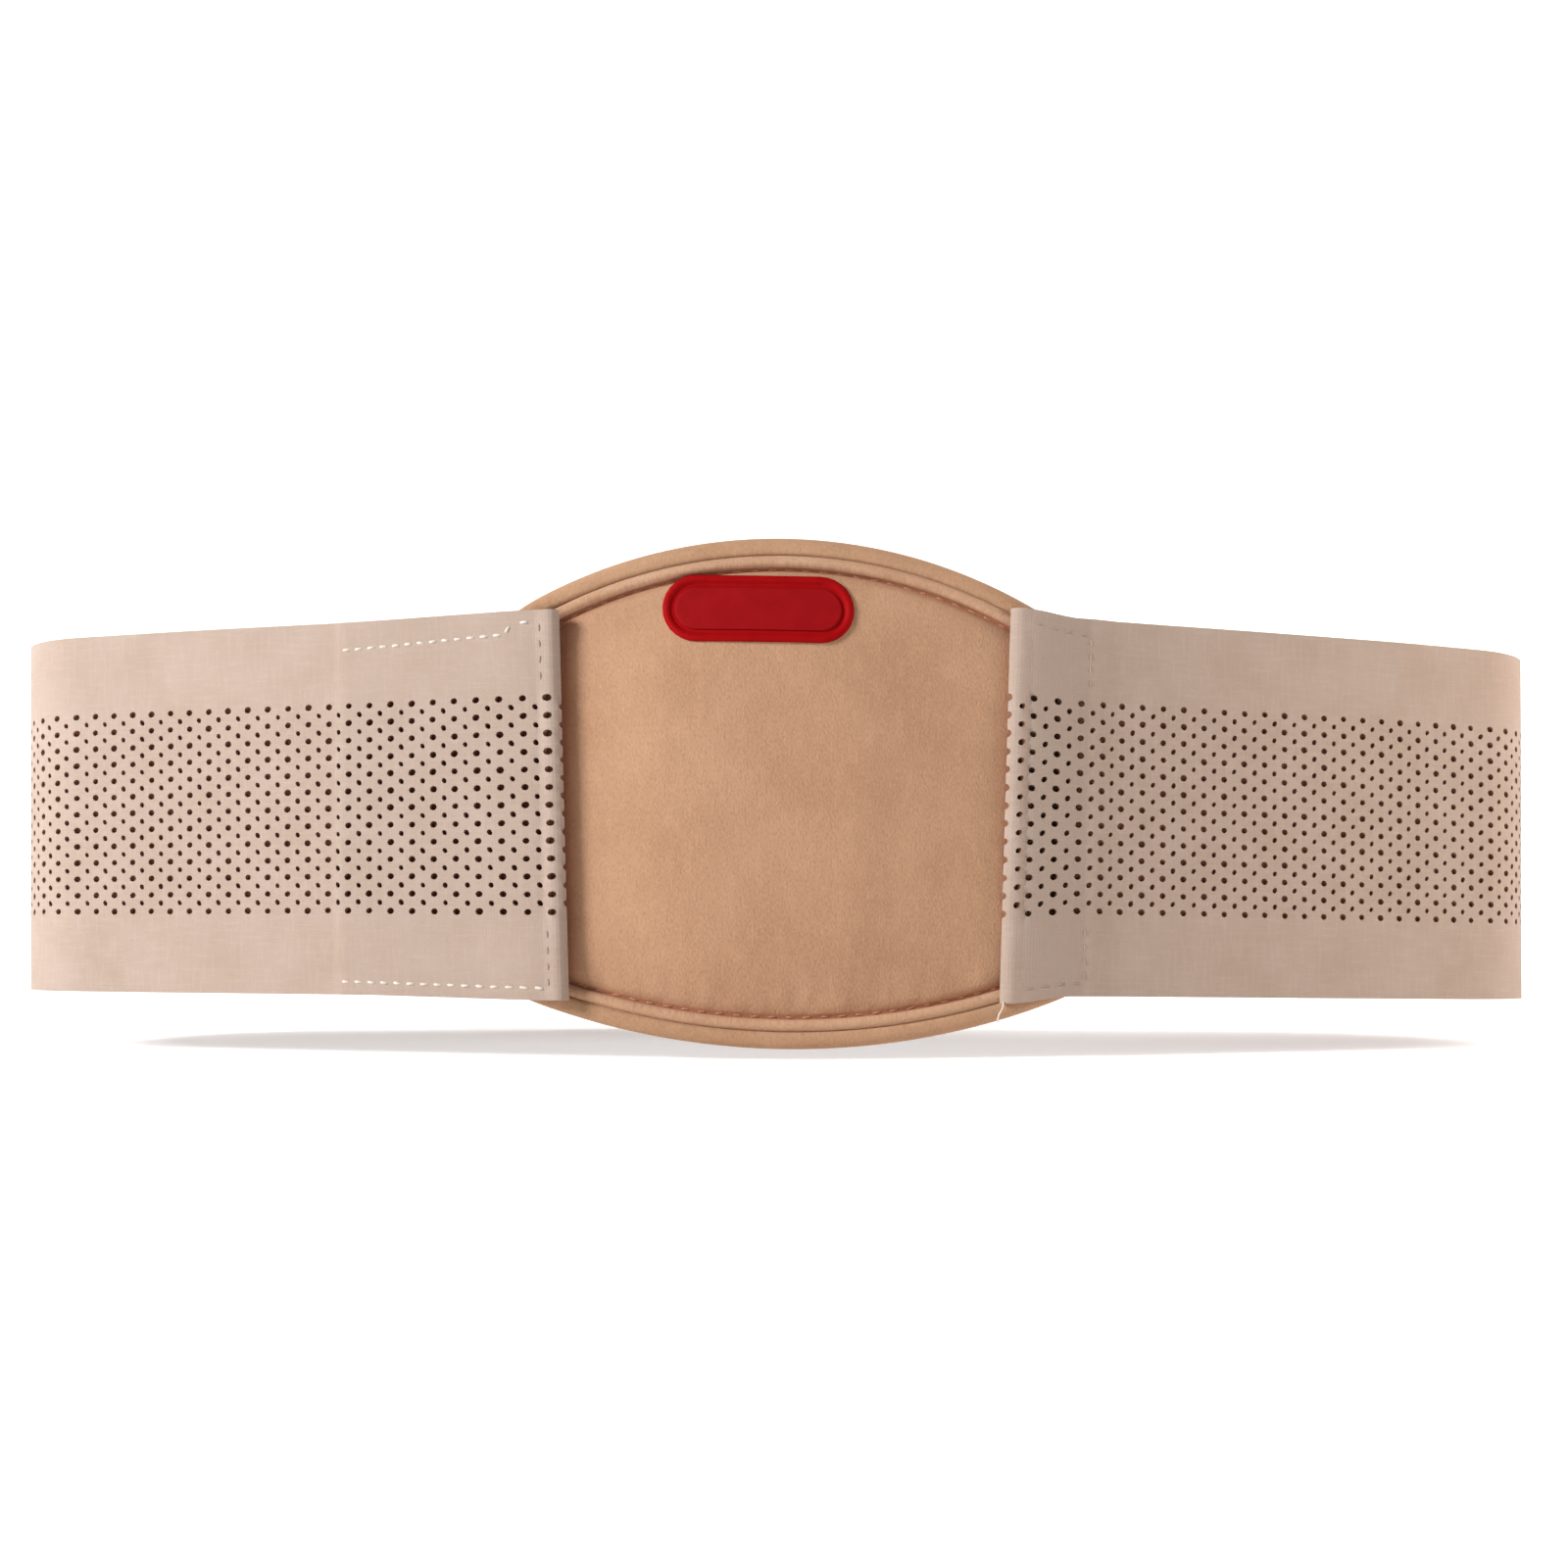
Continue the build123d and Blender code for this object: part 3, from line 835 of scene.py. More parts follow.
def swell(piece, pinned, pressure=3.0):
    before = [v.co.copy() for v in piece.data.vertices]
    group = piece.vertex_groups.new(name="pinned")
    group.add([i for i, held in enumerate(pinned) if held], 1.0, "REPLACE")
    cloth = piece.modifiers.new("cloth", "CLOTH")
    settings = cloth.settings
    settings.vertex_group_mass = "pinned"
    settings.use_pressure = True
    settings.uniform_pressure_force = pressure
    settings.effector_weights.gravity = 0
    settings.tension_stiffness = settings.compression_stiffness = 8
    settings.shrink_min = -0.01
    cloth.collision_settings.use_collision = False
    scene = bpy.context.scene
    for step in range(1, 21):
        scene.frame_set(step)
    shape = piece.evaluated_get(bpy.context.evaluated_depsgraph_get())
    moved = [v.co.copy() for v in shape.data.vertices]
    piece.modifiers.clear()
    piece.vertex_groups.clear()
    farthest = 0.0
    for vertex, old, new in zip(piece.data.vertices, before, moved):
        way = new - old
        farthest = max(farthest, way.length / MM)
        if way.length > SWELL_CAP * MM:
            way = way.normalized() * SWELL_CAP * MM
        vertex.co = old + way
    scene.frame_set(1)
    print("cloth settled, farthest point moved", round(farthest, 2), "mm before the cap")


def front_rise(x, z):
    """The belly of the front panel, with the soft upright fold right of its centre."""
    visible = ramp(x, -58, -30) * (1 - ramp(x, 34, 60))
    fold = 0.5 * math.exp(-(((x - 20 - z * 0.05) / 7) ** 2)) * ramp(-z, -48, -10)
    crowned = math.cos(math.pi * (x + 12) / 110) if abs(x + 12) < 55 else 0.0
    return 0.3 + visible * (0.5 + 3.4 * crowned + fold)


def lumbar_rise(x, z):
    return 0.3


def painted_shadow_by_the_straps(x):
    """How much painted shadow the plush gets beside the tab's lifted edge and beside the right hem."""
    by_tab, by_hem = x + TAB_END, x - HEM_END
    shadow_bands = ((0.75, by_tab, 2.2), (0.22, by_tab, 7), (0.4, by_hem, 2))
    return sum(share * math.exp(-((away / width) ** 2)) for share, away, width in shadow_bands)


FRONT_SEAM, LUMBAR_SEAM = 8.3, 6.0
front_pad = pad(
    "front_pad", front_limits, FRONT_LEFT, FRONT_RIGHT, front_line, front_lay, FRONT_FACE,
    front_rise, FRONT_SEAM, 1.3, (PLUSH, LINING), 96, painted_shadow_by_the_straps,
)
lumbar_pad = pad(
    "lumbar_pad", lumbar_limits, -LUMBAR_SIDE, LUMBAR_SIDE, lumbar_line, back_lay,
    LUMBAR_FACE, lumbar_rise, LUMBAR_SEAM, 0.6, (CANVAS, LINING), 100, lambda x: 0.0,
)

# %% [markdown]
# ## Binding and piping
# A knitted tape is folded over the raw edge and sewn through.  Inside it, on the front panel, a
# raised bead runs all round.  Both are a section swept round the outline.

# %% Bindings and piping
def tape_profile(width, back, front):
    """A tape folded round an edge: over the front, round the edge and over the back, then inside."""
    return [
        (width, front - 0.75), (width - 0.25, front - 0.25), (width - 1.0, front),
        (width / 2, front + 0.05), (1.1, front - 0.3), (0.35, front - 1.0),
        (0.0, front - 2.2), (0.0, back + 1.9), (0.35, back + 0.8),
        (1.1, back + 0.2), (width / 2, back), (width - 0.4, back + 0.1), (width, back + 0.6),
        (1.2, back + 1.0), (1.2, front - 1.1),
    ]


front_binding = sweep(
    "front_binding_tape", front_line, tape_profile(4.5, -0.8, FRONT_RIM), front_lay, BINDING
)
lumbar_binding = sweep(
    "lumbar_binding_tape", lumbar_line, tape_profile(5.0, -0.8, LUMBAR_RIM), back_lay, BINDING
)
BEAD_IN, BEAD_WIDE, BEAD_HIGH = 6.2, 1.55, 1.5
bead = [
    (BEAD_IN + BEAD_WIDE * math.cos(a), FRONT_FACE - 0.35 + BEAD_HIGH * math.sin(a))
    for a in (k * math.pi / 5 for k in range(10))
]
front_piping = sweep("front_piping_bead", front_line, bead, front_lay, PIPING)

# %% [markdown]
# ## The badge
# It is one rubber moulding: a plate with a rounded rim, a groove inside the rim and a low flat field,
# left blank.  Nested rounded bars, each with its own inset and stand, make the section.

# %% Badge
BADGE_LOW, BADGE_HIGH = (Vector(corner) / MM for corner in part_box("badge_frame"))
BADGE_LONG, BADGE_TALL = BADGE_HIGH.x - BADGE_LOW.x, BADGE_HIGH.z - BADGE_LOW.z
BADGE_X, BADGE_Z = (BADGE_LOW.x + BADGE_HIGH.x) / 2, (BADGE_LOW.z + BADGE_HIGH.z) / 2
BADGE_STAND = FRONT_FACE + 1.0  # over the belly, which lifts the badge
ARC_POINTS, SIDE_POINTS = 14, 12


def rounded_bar(depth):
    half, radius = (BADGE_LONG - BADGE_TALL) / 2, max(BADGE_TALL / 2 - depth, 0.02)
    ring = []
    for side in (1, -1):
        for k in range(ARC_POINTS + 1):
            a = -math.pi / 2 + math.pi * k / ARC_POINTS
            ring.append((side * (half + radius * math.cos(a)), side * radius * math.sin(a)))
        straight = [half - 2 * half * k / SIDE_POINTS for k in range(1, SIDE_POINTS)]
        ring += [(side * a, side * radius) for a in straight]
    return ring


def moulding(name, section, material):
    """A solid of nested bars.  section is a list of (inset, stand), from the middle below to above."""
    points, flat, faces = [], [], []
    for depth, stand in section:
        for a, b in rounded_bar(depth):
            x, z = BADGE_X + a, BADGE_Z + b
            lifted = swelling(front_rise, x, z, distance_in(x, z, front_line), FRONT_SEAM)
            points.append(front_lay(x, stand + lifted, z))
            flat.append((a, b))
    n = len(rounded_bar(0))
    for ring in range(len(section) - 1):
        faces += band(ring * n, (ring + 1) * n, n)
    piece = make_piece(name, points, faces, material, flat, sharp=75)
    outward(piece, merge=0.06)
    print(name, len(piece.data.polygons), "faces")
    return piece


MIDDLE = BADGE_TALL / 2
B = BADGE_STAND
badge_rim = moulding("badge_rim", [
    (MIDDLE, B - 1.5), (4, B - 1.5), (0.3, B - 1.5), (0, B - 0.9), (0, B + 0.3), (0.25, B + 0.75),
    (0.75, B + 1.05), (1.3, B + 1.05), (1.85, B + 0.7), (2.15, B + 0.3), (2.5, B + 0.25), (4, B + 0.25),
    (6.5, B + 0.25), (MIDDLE, B + 0.25),
], RED_RIM)
badge_field = moulding("badge_field", [
    (MIDDLE, B + 0.27), (6, B + 0.27), (3.2, B + 0.27), (3.2, B + 0.55), (3.45, B + 0.72),
    (3.9, B + 0.75), (5.5, B + 0.75), (7, B + 0.75), (MIDDLE, B + 0.75),
], RED_FIELD)

# %% [markdown]
# ## Seams
# A lockstitch shows as short raised dashes with a dimple between.  Each stitch here is a small
# rounded bar of thread that dips into the cloth at both ends.  A seam is drawn as corners on the
# flat cloth, and the same laying rule that bends the cloth carries its stitches.

# %% Stitches
STITCH_PITCH, STITCH_LENGTH, THREAD = 3.6, 2.5, 0.4
GAP = 31  # half height of the middle of an upright seam, where it has no stitches
# along a stitch: the share of its length, the share of its radius, and how far it stands out
STITCH_RINGS = (0, 0.35, -0.3), (0.18, 0.9, 0.02), (0.5, 1.05, 0.1), (0.82, 0.9, 0.02), (1, 0.35, -0.3)


def thread_ring(centre, across, up, radius):
    """Six points round a thread."""
    return [
        centre + (across * math.cos(a) + up * math.sin(a)) * radius * MM
        for a in (k * math.pi / 3 for k in range(6))
    ]


def along(corners):
    """Start and end of each stitch along a line of corners on the flat cloth."""
    for a, b in zip(corners, corners[1:]):
        length = math.dist(a, b)
        count = max(int(length / STITCH_PITCH), 1)
        pitch = length / count
        for k in range(count):
            low = (k * pitch + (pitch - STITCH_LENGTH) / 2) / length
            high = low + STITCH_LENGTH / length
            yield [tuple(a[c] + (b[c] - a[c]) * t for c in (0, 1)) for t in (low, high)]


def seam(name, lines, lay, material, thick=THREAD):
    """Stitches along lines of corners.  lay(u, v, rise) puts a point on the cloth's face."""
    points, faces, flat = [], [], []
    for corners in lines:
        for (u0, v0), (u1, v1) in along(corners):
            tilt = random.uniform(-0.12, 0.12)
            first, du, dv = len(points), u1 - u0, v1 - v0
            for ring, (t, size, sink) in enumerate(STITCH_RINGS):
                u, v = u0 + du * t + tilt * dv * (t - 0.5), v0 + dv * t + tilt * du * (t - 0.5)
                centre = lay(u, v, sink)
                up = (lay(u, v, sink + 1) - centre).normalized()
                ahead = (lay(u + du * 0.05, v + dv * 0.05, sink) - centre).normalized()
                points += thread_ring(centre, up.cross(ahead), up, thick * size)
                flat += [(u, v + k * 0.1) for k in range(6)]
                if ring:
                    faces += band(first + (ring - 1) * 6, first + ring * 6, 6)
            faces.append([first + k for k in range(5, -1, -1)])
            faces.append([first + 24 + k for k in range(6)])
    piece = make_piece(name, points, faces, material, flat, sharp=85)
    outward(piece)
    print(name, len(points) // 30, "stitches")
    return piece


def on_left(s, z, rise):
    return lay_left(s, z, WEB / 2 + rise)


def on_right(s, z, rise):
    return lay_right(s, z, WEB / 2 + rise)


PATCH_FROM, PATCH_TO, PATCH_HIGH, PATCH_LOW = HEM + 0.4, 62.0, 44.0, -46.5
tab_seams = seam("tab_stitches", [
    [(PATCH_TO, PATCH_HIGH - 1.5), (14, PATCH_HIGH), (12, PATCH_HIGH + 2.6),
     (PATCH_FROM, PATCH_HIGH + 3.2)],
    [(PATCH_TO, PATCH_LOW), (PATCH_FROM, PATCH_LOW - 0.4)],
], on_left, PALE_THREAD)
tab_hem_seam = seam(
    "tab_hem_stitches", [[(HEM, 47.5), (HEM, GAP)], [(HEM, -GAP), (HEM, -47.5)]], on_left, SHADE_THREAD
)
BOX_TO = 21.0
hem_seams = seam("box_stitches", [
    [(HEM + 0.2, 46.5), (BOX_TO, 45.5)], [(HEM + 0.2, -46.5), (BOX_TO, -46.5)],
    [(BOX_TO, 45.5), (BOX_TO, GAP)], [(BOX_TO, -GAP), (BOX_TO, -46.5)],
    [(HEM + 0.2, 46.5), (HEM + 0.2, GAP)], [(HEM + 0.2, -GAP), (HEM + 0.2, -46.5)],
], on_right, SHADE_THREAD, thick=0.22)


def loop_seam(name, line, depth, lay, stand, material, thick=THREAD):
    ring = inset(line, depth)
    corners = [ring[i] for i in range(0, len(ring), 9)] + ring[:1]

    def on_panel(x, z, rise):
        return lay(x, stand + rise, z)

    return seam(name, [corners], on_panel, material, thick)


rim_seam = loop_seam(
    "front_rim_stitches", front_line, FRONT_SEAM, front_lay, FRONT_FACE - 1.15, TAN_THREAD, 0.22
)
lumbar_seam = loop_seam(
    "lumbar_rim_stitches", lumbar_line, 3.9, back_lay, LUMBAR_RIM + 0.05, TAN_THREAD
)

# %% [markdown]
# ## Stay casings
# Each stay slides in a tube of tape sewn to the outside of the lumbar panel, closed below and open
# above, so that the stay comes out before washing.  The tape is drawn as a section, with sewn
# flanges and a hump over the stay, and it is extruded from the closed foot to the open mouth.

# %% Casings
STAY_RUNS = (28.0, 64.0)
FLANGE, HUMP, TUNNEL = 7.9, 5.9, 4.95
CASING_TOP, CASING_FOOT = top_of("stay_casing_1"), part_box("stay_casing_1")[0][2] / MM
TUNNEL_FOOT = CASING_FOOT + 2.6
TUNNEL_LOW, TUNNEL_HIGH, CASING_HIGH = LUMBAR_FACE + 1.25, LUMBAR_FACE + 3.25, LUMBAR_FACE + 4.0


def casing_section(hollow):
    """Half widths and stands round the section, for the outside or for the tunnel."""
    if hollow:
        low, high = TUNNEL_LOW, TUNNEL_HIGH
        half, crest = [(TUNNEL, low), (TUNNEL, high - 0.3), (TUNNEL - 0.4, high)], high + 0.03
    else:
        low, high = LUMBAR_FACE + 0.05, CASING_HIGH
        half = [(FLANGE, low), (FLANGE, LUMBAR_FACE + 0.8), (HUMP, LUMBAR_FACE + 0.95)]
        half, crest = half + [(HUMP - 0.5, high - 0.5), (HUMP - 1.6, high)], high + 0.1
    return [(-wide, stand) for wide, stand in half] + [(0, crest)] + half[::-1] + [(0, low)]


def casing(number, middle):
    points, flat, faces = [], [], []

    def wall(section, low, high, steps):
        first = len(points)
        for k in range(steps + 1):
            z = low + (high - low) * k / steps
            for u, stand in section:
                points.append(place(middle + u, stand, z))
                flat.append((u, z + stand))
        n = len(section)
        for k in range(steps):
            faces.extend(band(first + k * n, first + (k + 1) * n, n))
        return list(range(first, first + n)), list(range(first + steps * n, first + (steps + 1) * n))

    foot, mouth = wall(casing_section(False), CASING_FOOT, CASING_TOP, 24)
    floor, rim = wall(casing_section(True), TUNNEL_FOOT, CASING_TOP, 20)
    faces.append(foot)
    faces.append(floor)
    outer_of = [0, 2, 3, 5, 7, 8, 10, 11]  # the outside point that faces each tunnel point
    for i, a in enumerate(outer_of):
        b, j = outer_of[(i + 1) % 8], (i + 1) % 8
        between = [mouth[k] for k in range(a, b + 1)] if b > a else [mouth[a], mouth[b]]
        faces.append(between + [rim[j], rim[i]])
    piece = make_piece(f"stay_casing_tape_{number}", points, faces, CASING, flat, sharp=60)
    outward(piece)
    return piece


stay_middles = [side * (HALF_GIRTH - distance) for side in (-1, 1) for distance in STAY_RUNS]
casings = [casing(number, middle) for number, middle in enumerate(stay_middles, start=1)]
casing_lines = [
    [(middle + side * (FLANGE - 0.9), CASING_FOOT + 1), (middle + side * (FLANGE - 0.9), CASING_TOP - 1)]
    for middle in stay_middles for side in (-1, 1)
]
casing_lines += [
    [(m - FLANGE + 1, CASING_FOOT + 1.2), (m + FLANGE - 1, CASING_FOOT + 1.2)] for m in stay_middles
]


def on_casing(run, z, rise):
    edge = min(abs(run - m) for m in stay_middles)
    stand = LUMBAR_FACE + 0.9 if edge > HUMP - 0.4 else CASING_HIGH
    return place(run, stand + rise, z)


casing_seams = seam("casing_stitches", casing_lines, on_casing, TAN_THREAD)
print(len(casings), "casings")

# %% [markdown]
# ## Wings, label and hooks
# A wing is doubled cloth sewn into the lumbar panel's edge, and the strap is sewn onto it.  It is
# where the belt bends open.  The care label is left blank.  The hook tape on the back of the tab has
# rows of fine bristles, small but real, because they are seen when the tab is peeled.

# %% Wings
WING_STAND, WING_THICK, WING_HALF = 6.1, 1.5, top_of("left_wing")


def wing(side, name):
    runs = [EDGE_RUN + WING_IN - (WING_IN + WING_OUT) * k / 30 for k in range(31)]
    heights = [-WING_HALF + 2 * WING_HALF * k / 36 for k in range(37)]

    def lay_wing(run, z):
        gather = 0.16 * math.sin(z / 3.1) * (1 - ramp(EDGE_RUN - run, 4, 12))
        return place(side * run, WING_STAND + gather, z)

    return cloth_of(name, runs, heights, lay_wing, CANVAS, WING_THICK, flip=True)


wings = {name: wing(side, f"{name}_wing_cloth") for side, name in ((-1, "left"), (1, "right"))}
STRAP_BACK = {"left": LEFT_LAST * COLUMN / 2, "right": RIGHT_LAST * COLUMN / 2}
wing_seams = {}
for name, lay in (("left", on_left), ("right", on_right)):
    last = STRAP_BACK[name]
    wing_seams[name] = seam(
        f"{name}_wing_stitches",
        [[(last - d, 46), (last - d, GAP)] for d in (1.5, 20)]
        + [[(last - d, -GAP), (last - d, -46)] for d in (1.5, 20)]
        + [[(last - 20, z), (last - 1.5, z)] for z in (46, -46)],
        lay, PALE_THREAD,
    )

# %% [markdown]
# The care label is a short tape, sewn along its upper edge.  It curls a little off the lining below.

# %% Label
LABEL_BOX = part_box("care_label")
label_run = HALF_GIRTH - 62.0
LABEL_LONG = 32.0
LABEL_LOW, LABEL_HIGH = LABEL_BOX[0][2] / MM, LABEL_BOX[1][2] / MM
label_runs = [label_run - LABEL_LONG / 2 + 2 * i for i in range(17)]
label_heights = [LABEL_LOW + (LABEL_HIGH - LABEL_LOW) * j / 12 for j in range(13)]


def lay_label(run, z):
    """The label's lower corners and its middle stand off the lining."""
    wave = 0.5 + 0.5 * math.cos((run - label_runs[0]) * math.pi / 16)
    return place(run, -0.35 - (1 - ramp(z - LABEL_LOW, 0, 9)) * wave * 0.9, z)


label = cloth_of("care_label_tape", label_runs, label_heights, lay_label, LABEL, 0.3)


def on_label(run, z, rise):
    return place(run, -0.55 - rise, z)


label_seam = seam(
    "label_stitches", [[(label_run - 15, LABEL_HIGH - 1.2), (label_run + 15, LABEL_HIGH - 1.2)]],
    on_label, PALE_THREAD,
)

# %% [markdown]
# The hook tape follows the tab's own laying rule from behind, and each bristle leans to one side.

# %% Hook tape with its bristles
HOOK_HALF = top_of("hook_patch")
HOOK_FROM, HOOK_TO, HOOK_BASE = HEM + 0.6, 63.8, 0.45
HOOK_COLUMNS, HOOK_ROWS = 30, 48
ROOT, END = HOOK_BASE - 0.05, HOOK_BASE + 0.6
# a bristle's corners: how far along, how far up, and how far behind the webbing
BRISTLE = (
    (-0.3, -0.3, ROOT), (0.3, -0.3, ROOT), (0.3, 0.3, ROOT), (-0.3, 0.3, ROOT),
    (0.15, -0.15, END), (0.5, -0.12, END), (0.5, 0.12, END), (0.15, 0.15, END),
)
points, flat = [], []


def behind_tab(i, j, depth, ds=0.0, dz=0.0):
    """Adds a point at a place of the tape's lattice, that far behind the webbing's back face."""
    s = HOOK_FROM + (HOOK_TO - HOOK_FROM) * i / HOOK_COLUMNS + ds
    z = -HOOK_HALF + 2 * HOOK_HALF * j / HOOK_ROWS + dz
    points.append(lay_left(s, z, -WEB / 2 - depth))
    flat.append((s, z))


for layer in (0.02, HOOK_BASE):
    for i in range(HOOK_COLUMNS + 1):
        for j in range(HOOK_ROWS + 1):
            behind_tab(i, j, layer)
faces = two_layers(HOOK_COLUMNS, HOOK_ROWS, (HOOK_COLUMNS + 1) * (HOOK_ROWS + 1))
for i in range(HOOK_COLUMNS):
    for j in range(HOOK_ROWS):
        base = len(points)
        for ds, dz, depth in BRISTLE:
            behind_tab(i + 0.5, j + 0.5, depth, ds, dz)
        faces += band(base, base + 4, 4)
        faces += [[base + 4, base + 5, base + 6, base + 7], [base, base + 3, base + 2, base + 1]]
hook_tape = make_piece("hook_tape_bristles", points, faces, HOOKS, flat, sharp=40)
outward(hook_tape)
print("hook tape", len(hook_tape.data.polygons), "faces")

# %% [markdown]
# ## A loose thread
# One cut end of thread hangs from the foot of the right hem, as it does on a sewn piece.

# %% Thread tail
points, flat, faces = [], [], []
TAIL_STEPS = (
    (0, 0, 0), (-0.1, -0.2, -1.0), (-0.5, -0.3, -2.2),
    (-1.2, -0.2, -3.4), (-1.5, 0, -4.6), (-1.4, 0.2, -5.6),
)
TAIL = [lay_right(0.4, -STRAP_HALF + 0.5, 0.9) + Vector(step) * MM for step in TAIL_STEPS]
for i, centre in enumerate(TAIL):
    ahead = (TAIL[min(i + 1, 5)] - TAIL[max(i - 1, 0)]).normalized()
    across = ahead.cross(Vector((0, 1, 0))).normalized()
    up = across.cross(ahead)
    points += thread_ring(centre, across, up, 0.2)
    flat += [(i, k * 0.1) for k in range(6)]
    if i:
        faces += band(6 * (i - 1), 6 * i, 6)
faces += [list(range(6)), list(range(30, 36))]
tail = make_piece("thread_tail", points, faces, PALE_THREAD, flat)
outward(tail)

# %% [markdown]
# ## Stays
# The stays are flat spring steel with dipped plastic tips.  Their shapes come from the design model
# as they are, and only get better finishes.

# %% Finishes of the stays
def over_model(finish_material, *nodes):
    for node in nodes:
        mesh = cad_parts[node].data
        for i in range(max(len(mesh.materials), 1)):
            if i < len(mesh.materials):
                mesh.materials[i] = finish_material
            else:
                mesh.materials.append(finish_material)


def model_finish(name, light, dark, roughness, metallic=0.0, stretch=(1, 1, 1)):
    """A finish that follows the object's own coordinates, for pieces of the design model."""
    f = Finish(name, roughness=roughness, specular=0.5)
    f.shader.inputs["Metallic"].default_value = metallic
    where = f.tree.nodes.new("ShaderNodeTexCoord")
    mapping = f.node("ShaderNodeMapping", Vector=where.outputs["Object"])
    mapping.inputs["Scale"].default_value = stretch
    grain = f.node("ShaderNodeTexNoise", Vector=mapping.outputs[0])
    grain.inputs["Scale"].default_value = 2500
    colour = f.mix(f.range(grain.outputs["Fac"], 0.3, 0.7), tone(dark), tone(light))
    return f.finish(colour, grain.outputs["Fac"], depth_mm=0.04, strength=0.3)


STEEL = model_finish("spring_steel", (190, 192, 196), (160, 162, 168), 0.32, 1.0, (1, 1, 0.04))
TIP = model_finish("dipped_tip", (240, 237, 230), (226, 222, 213), 0.4)
over_model(STEEL, *(f"stay_{i}" for i in range(1, 5)))
over_model(TIP, *(f"stay_tips_{i}" for i in range(1, 5)))

# %% [markdown]
# ## What moves with what
# A piece rides on the body it is sewn to.  The tab with its hook tape and seams, and the two wings,
# are baked in place and ride on no body.

# %% Bodies
def sewn_to(body, slot, *pieces, replaces=()):
    for piece in pieces:
        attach(piece, body)
    if replaces:
        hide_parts(*replaces)


peel_from, peel_to = place(-TAB_HINGE, 8.6, 0), place(-TAB_HINGE + 22, 7.0, 0)
for piece, slot, node in (
    (left_tab, "elastic_webbing", "left_tab"), (hook_tape, "hook_tape", "hook_patch"),
    (tab_seams, "elastic_webbing", None), (tab_hem_seam, "elastic_webbing", None),
):
    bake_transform(piece)
    if node:
        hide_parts(node)
for side, name, arm in ((-1, "left", "left_arm"), (1, "right", "right_arm")):
    hinge = place(side * EDGE_RUN, LUMBAR_RIM, 0)
    bent = place(side * (EDGE_RUN - WING_BARE), LUMBAR_RIM, 0)
    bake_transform(wings[name])
    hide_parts(f"{name}_wing")
sewn_to(
    "left_arm", "elastic_webbing", left_strap, left_liner, wing_seams["left"],
    replaces=["left_strap"],
)
sewn_to(
    "right_arm", "elastic_webbing", right_strap, right_liner, hem_seams, wing_seams["right"], tail,
    replaces=["right_strap"],
)
sewn_to("right_arm", "plush", front_pad, replaces=["front_plush", "front_foam", "front_lining"])
sewn_to("right_arm", "binding_tape", front_binding, rim_seam, replaces=["front_binding"])
sewn_to("right_arm", "plush", front_piping, replaces=["front_piping"])
sewn_to("right_arm", "red_rubber", badge_rim, replaces=["badge_frame"])
sewn_to("right_arm", "red_rubber", badge_field, replaces=["badge_inlay"])
sewn_to(
    "lumbar", "cover_cloth", lumbar_pad,
    replaces=["lumbar_cover", "lumbar_foam", "lumbar_plate", "lumbar_lining"],
)
sewn_to("lumbar", "binding_tape", lumbar_binding, lumbar_seam, replaces=["lumbar_binding"])
sewn_to("lumbar", "label_tape", label, label_seam, replaces=["care_label"])
sewn_to("lumbar", "casing_tape", casing_seams)
for number, piece in enumerate(casings, start=1):
    sewn_to("lumbar", "casing_tape", piece, replaces=[f"stay_casing_{number}"])

# %% [markdown]
# ## Cut sizes of the cloth pieces
# The flat size each cloth piece was cut to is printed.  The straps and linings are stretched round
# the waist, the label hangs, and the two panels are padded.

# %% Cut sizes
for piece in (left_tab, left_strap, right_strap):
    print(piece.name, "was cut to", [round(side / MM, 1) for side in size], "mm")
for piece, size, held, on in (
    (left_liner, (2 * LINER_HALF, LINER_LAST - LEFT_LINER_FROM), "stretched", "left_strap_webbing"),
    (right_liner, (2 * LINER_HALF, LINER_LAST - RIGHT_LINER_FROM), "stretched", "right_strap_webbing"),
    (wings["left"], (2 * WING_HALF, WING_IN + WING_OUT), "stretched", "lumbar_pad"),
    (wings["right"], (2 * WING_HALF, WING_IN + WING_OUT), "stretched", "lumbar_pad"),
    (label, (LABEL_HIGH - LABEL_LOW, LABEL_LONG), "hung", "lumbar_pad"),
):
    print(piece.name, "was cut to", [round(side, 1) for side in size], "mm")

# %% [markdown]
# ## Floor, light and camera
# The belt stands on a pale floor that curves up behind it, so there is no horizon line.  A large soft
# light from the upper left models the nap, a weaker one fills the right side, and the world is nearly
# white.

# %% Floor
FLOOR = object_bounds()[0][2] - 0.0005
points, faces = [], []
for i in range(41):
    a = min(max((i - 8) / 24, 0), 1) * math.pi / 2
    y = -3.0 + 3.5 * min(i, 8) / 8 + 2.0 * math.sin(a)
    z = FLOOR + 2.0 * (1 - math.cos(a)) + 0.5 * max(i - 32, 0)
    points += [Vector((-6, y, z)), Vector((6, y, z))]
    if i:
        faces.append([2 * i - 2, 2 * i - 1, 2 * i + 1, 2 * i])
backdrop = Finish("backdrop_paper", roughness=0.95, specular=0.1)
backdrop.shader.inputs["Emission Color"].default_value = (1, 1, 1, 1)
glow = backdrop.range(backdrop.node("ShaderNodeLightPath").outputs["Is Camera Ray"], 0, 1, 0.1, 0.4)
backdrop.tree.links.new(glow, backdrop.shader.inputs["Emission Strength"])  # a table lit from below
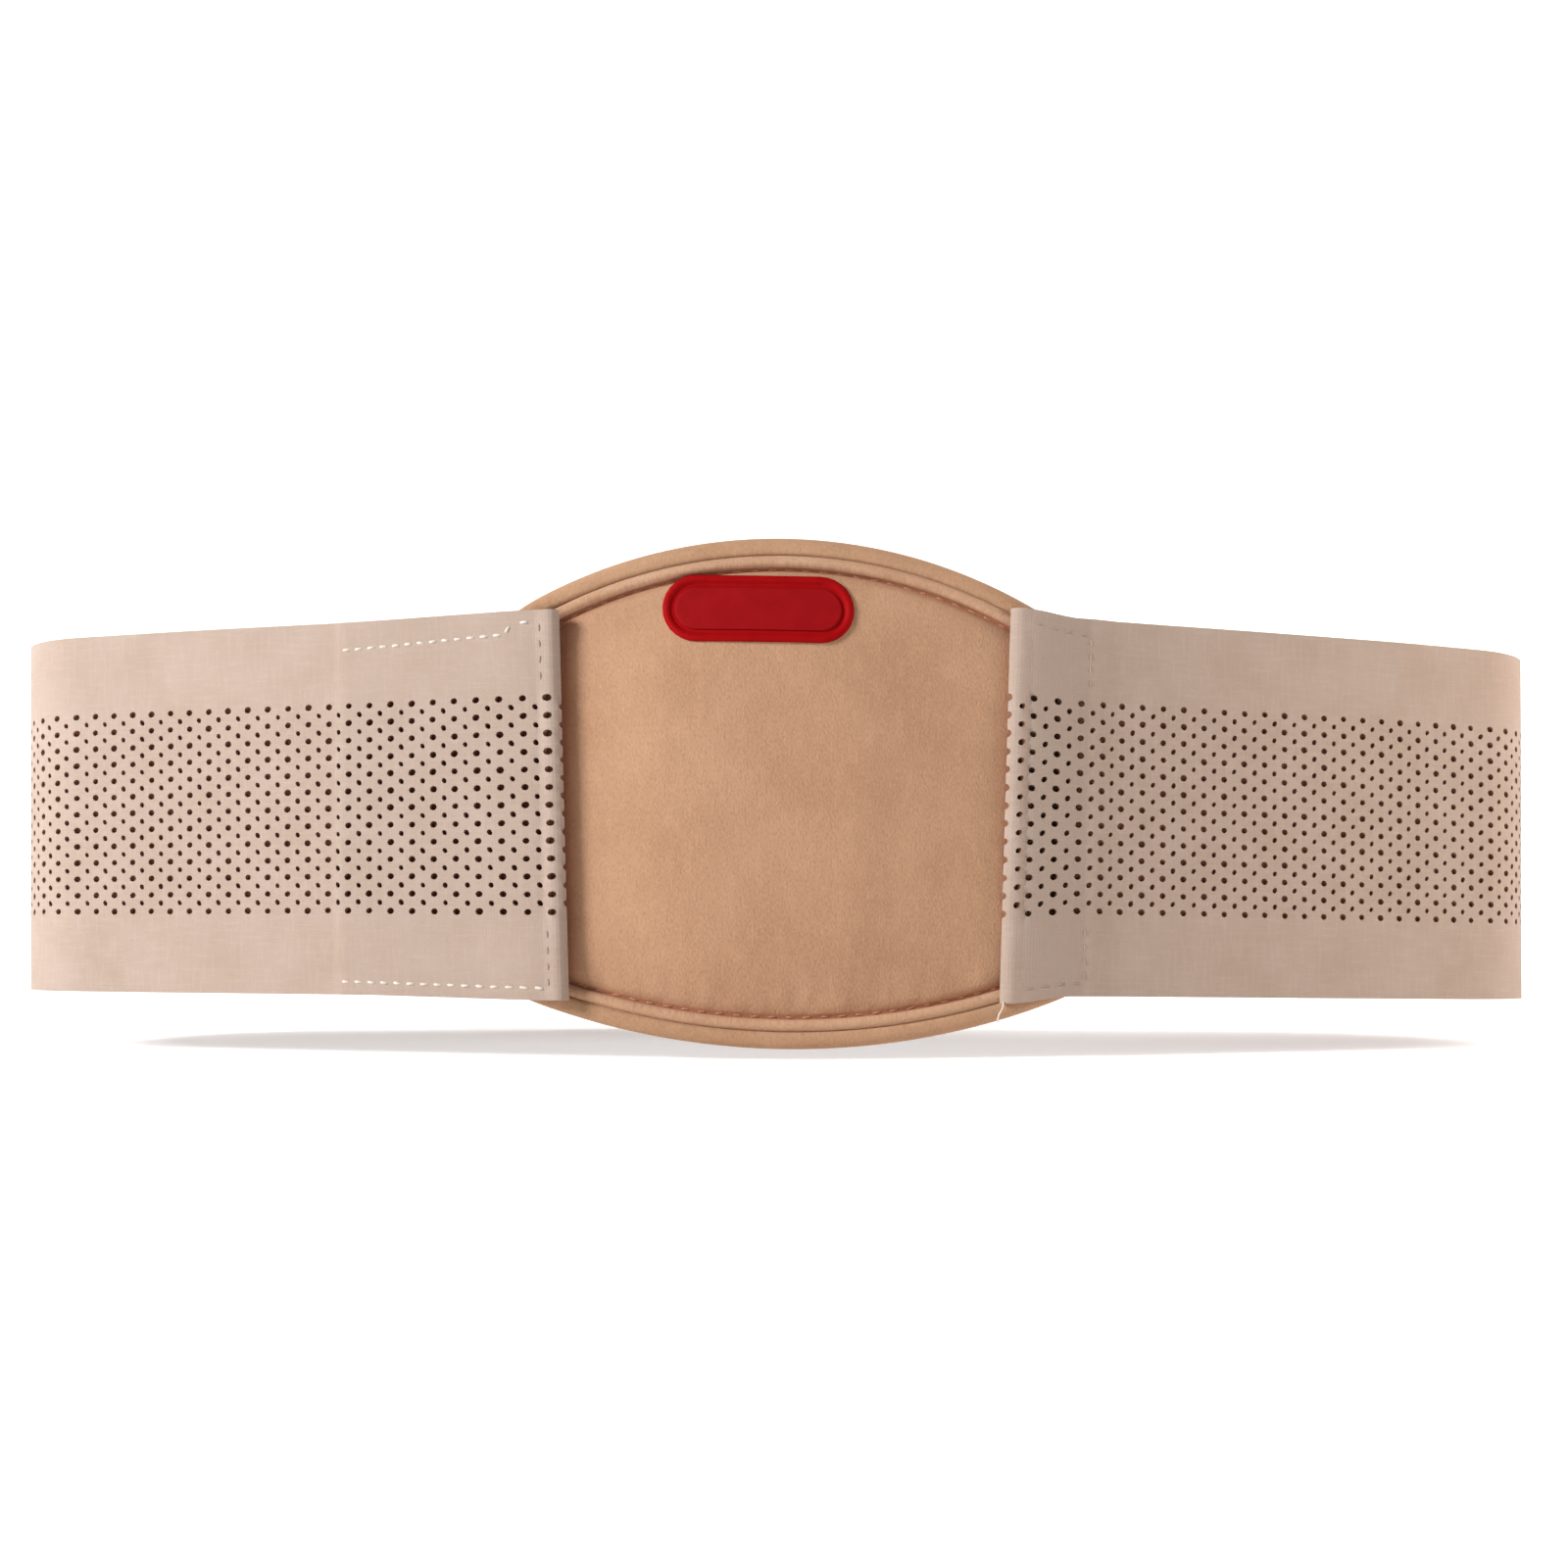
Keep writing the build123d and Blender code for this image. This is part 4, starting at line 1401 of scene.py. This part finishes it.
paper = backdrop.finish(backdrop.mix(backdrop.noise(400), tone((250, 250, 250)), tone((248, 248, 248))))
floor = make_piece("floor", points, faces, paper)

# %% [markdown]
# The lights stay out of sight, and each one aims at a place on the belt or on the backdrop.

# %% Light
def soft_light(name, where, size, watts, colour=(1, 1, 1), aim=(0, -0.08, 0)):
    lamp = bpy.data.lights.new(name, "AREA")
    lamp.size, lamp.energy, lamp.color = size, watts, colour
    light = add_object(name, lamp)
    light.location = where
    light.rotation_euler = (Vector(aim) - Vector(where)).to_track_quat("-Z", "Y").to_euler()
    light.visible_camera = False


soft_light("key", (-1.58, -1.0, 0.85), 0.5, 49, colour=(0.97, 0.99, 1))
soft_light("right", (0.45, -0.14, 0.14), 0.2, 0.85, colour=(1, 0.9, 0.8), aim=(0.15, -0.08, 0))
soft_light("top", (0, 0.5, 1.5), 1.3, 2)
soft_light("backdrop_left", (-1.7, 0.7, 0.9), 1.2, 26, aim=(0, 2.7, 0.6))
soft_light("backdrop_right", (1.7, 0.7, 0.9), 1.2, 26, aim=(0, 2.7, 0.6))
world = bpy.data.worlds.new("studio")
bpy.context.scene.world = world
world.use_nodes = True
world.node_tree.nodes["Background"].inputs["Color"].default_value = (1, 1, 1, 1)
sky = world.node_tree
ray, level = sky.nodes.new("ShaderNodeLightPath"), sky.nodes.new("ShaderNodeMapRange")
# its light is weak, and it looks white
level.inputs["To Min"].default_value, level.inputs["To Max"].default_value = 0.14, 1.0
sky.links.new(ray.outputs["Is Camera Ray"], level.inputs["Value"])
sky.links.new(level.outputs[0], sky.nodes["Background"].inputs["Strength"])
bpy.context.scene.view_settings.view_transform = "Standard"

# %% Camera
SENSOR, FOCUS = 36.0, 48.8
camera_data = bpy.data.cameras.new("camera")
camera_data.sensor_width, camera_data.lens = SENSOR, FOCUS
camera_data.shift_y = 0.094
camera_data.clip_start = 0.01
camera = add_object("camera", camera_data)
camera.location = Vector((-10.0, -648.0, -31.8)) * MM
camera.rotation_euler = (math.radians(90), 0, math.radians(-1.0))
bpy.context.scene.camera = camera
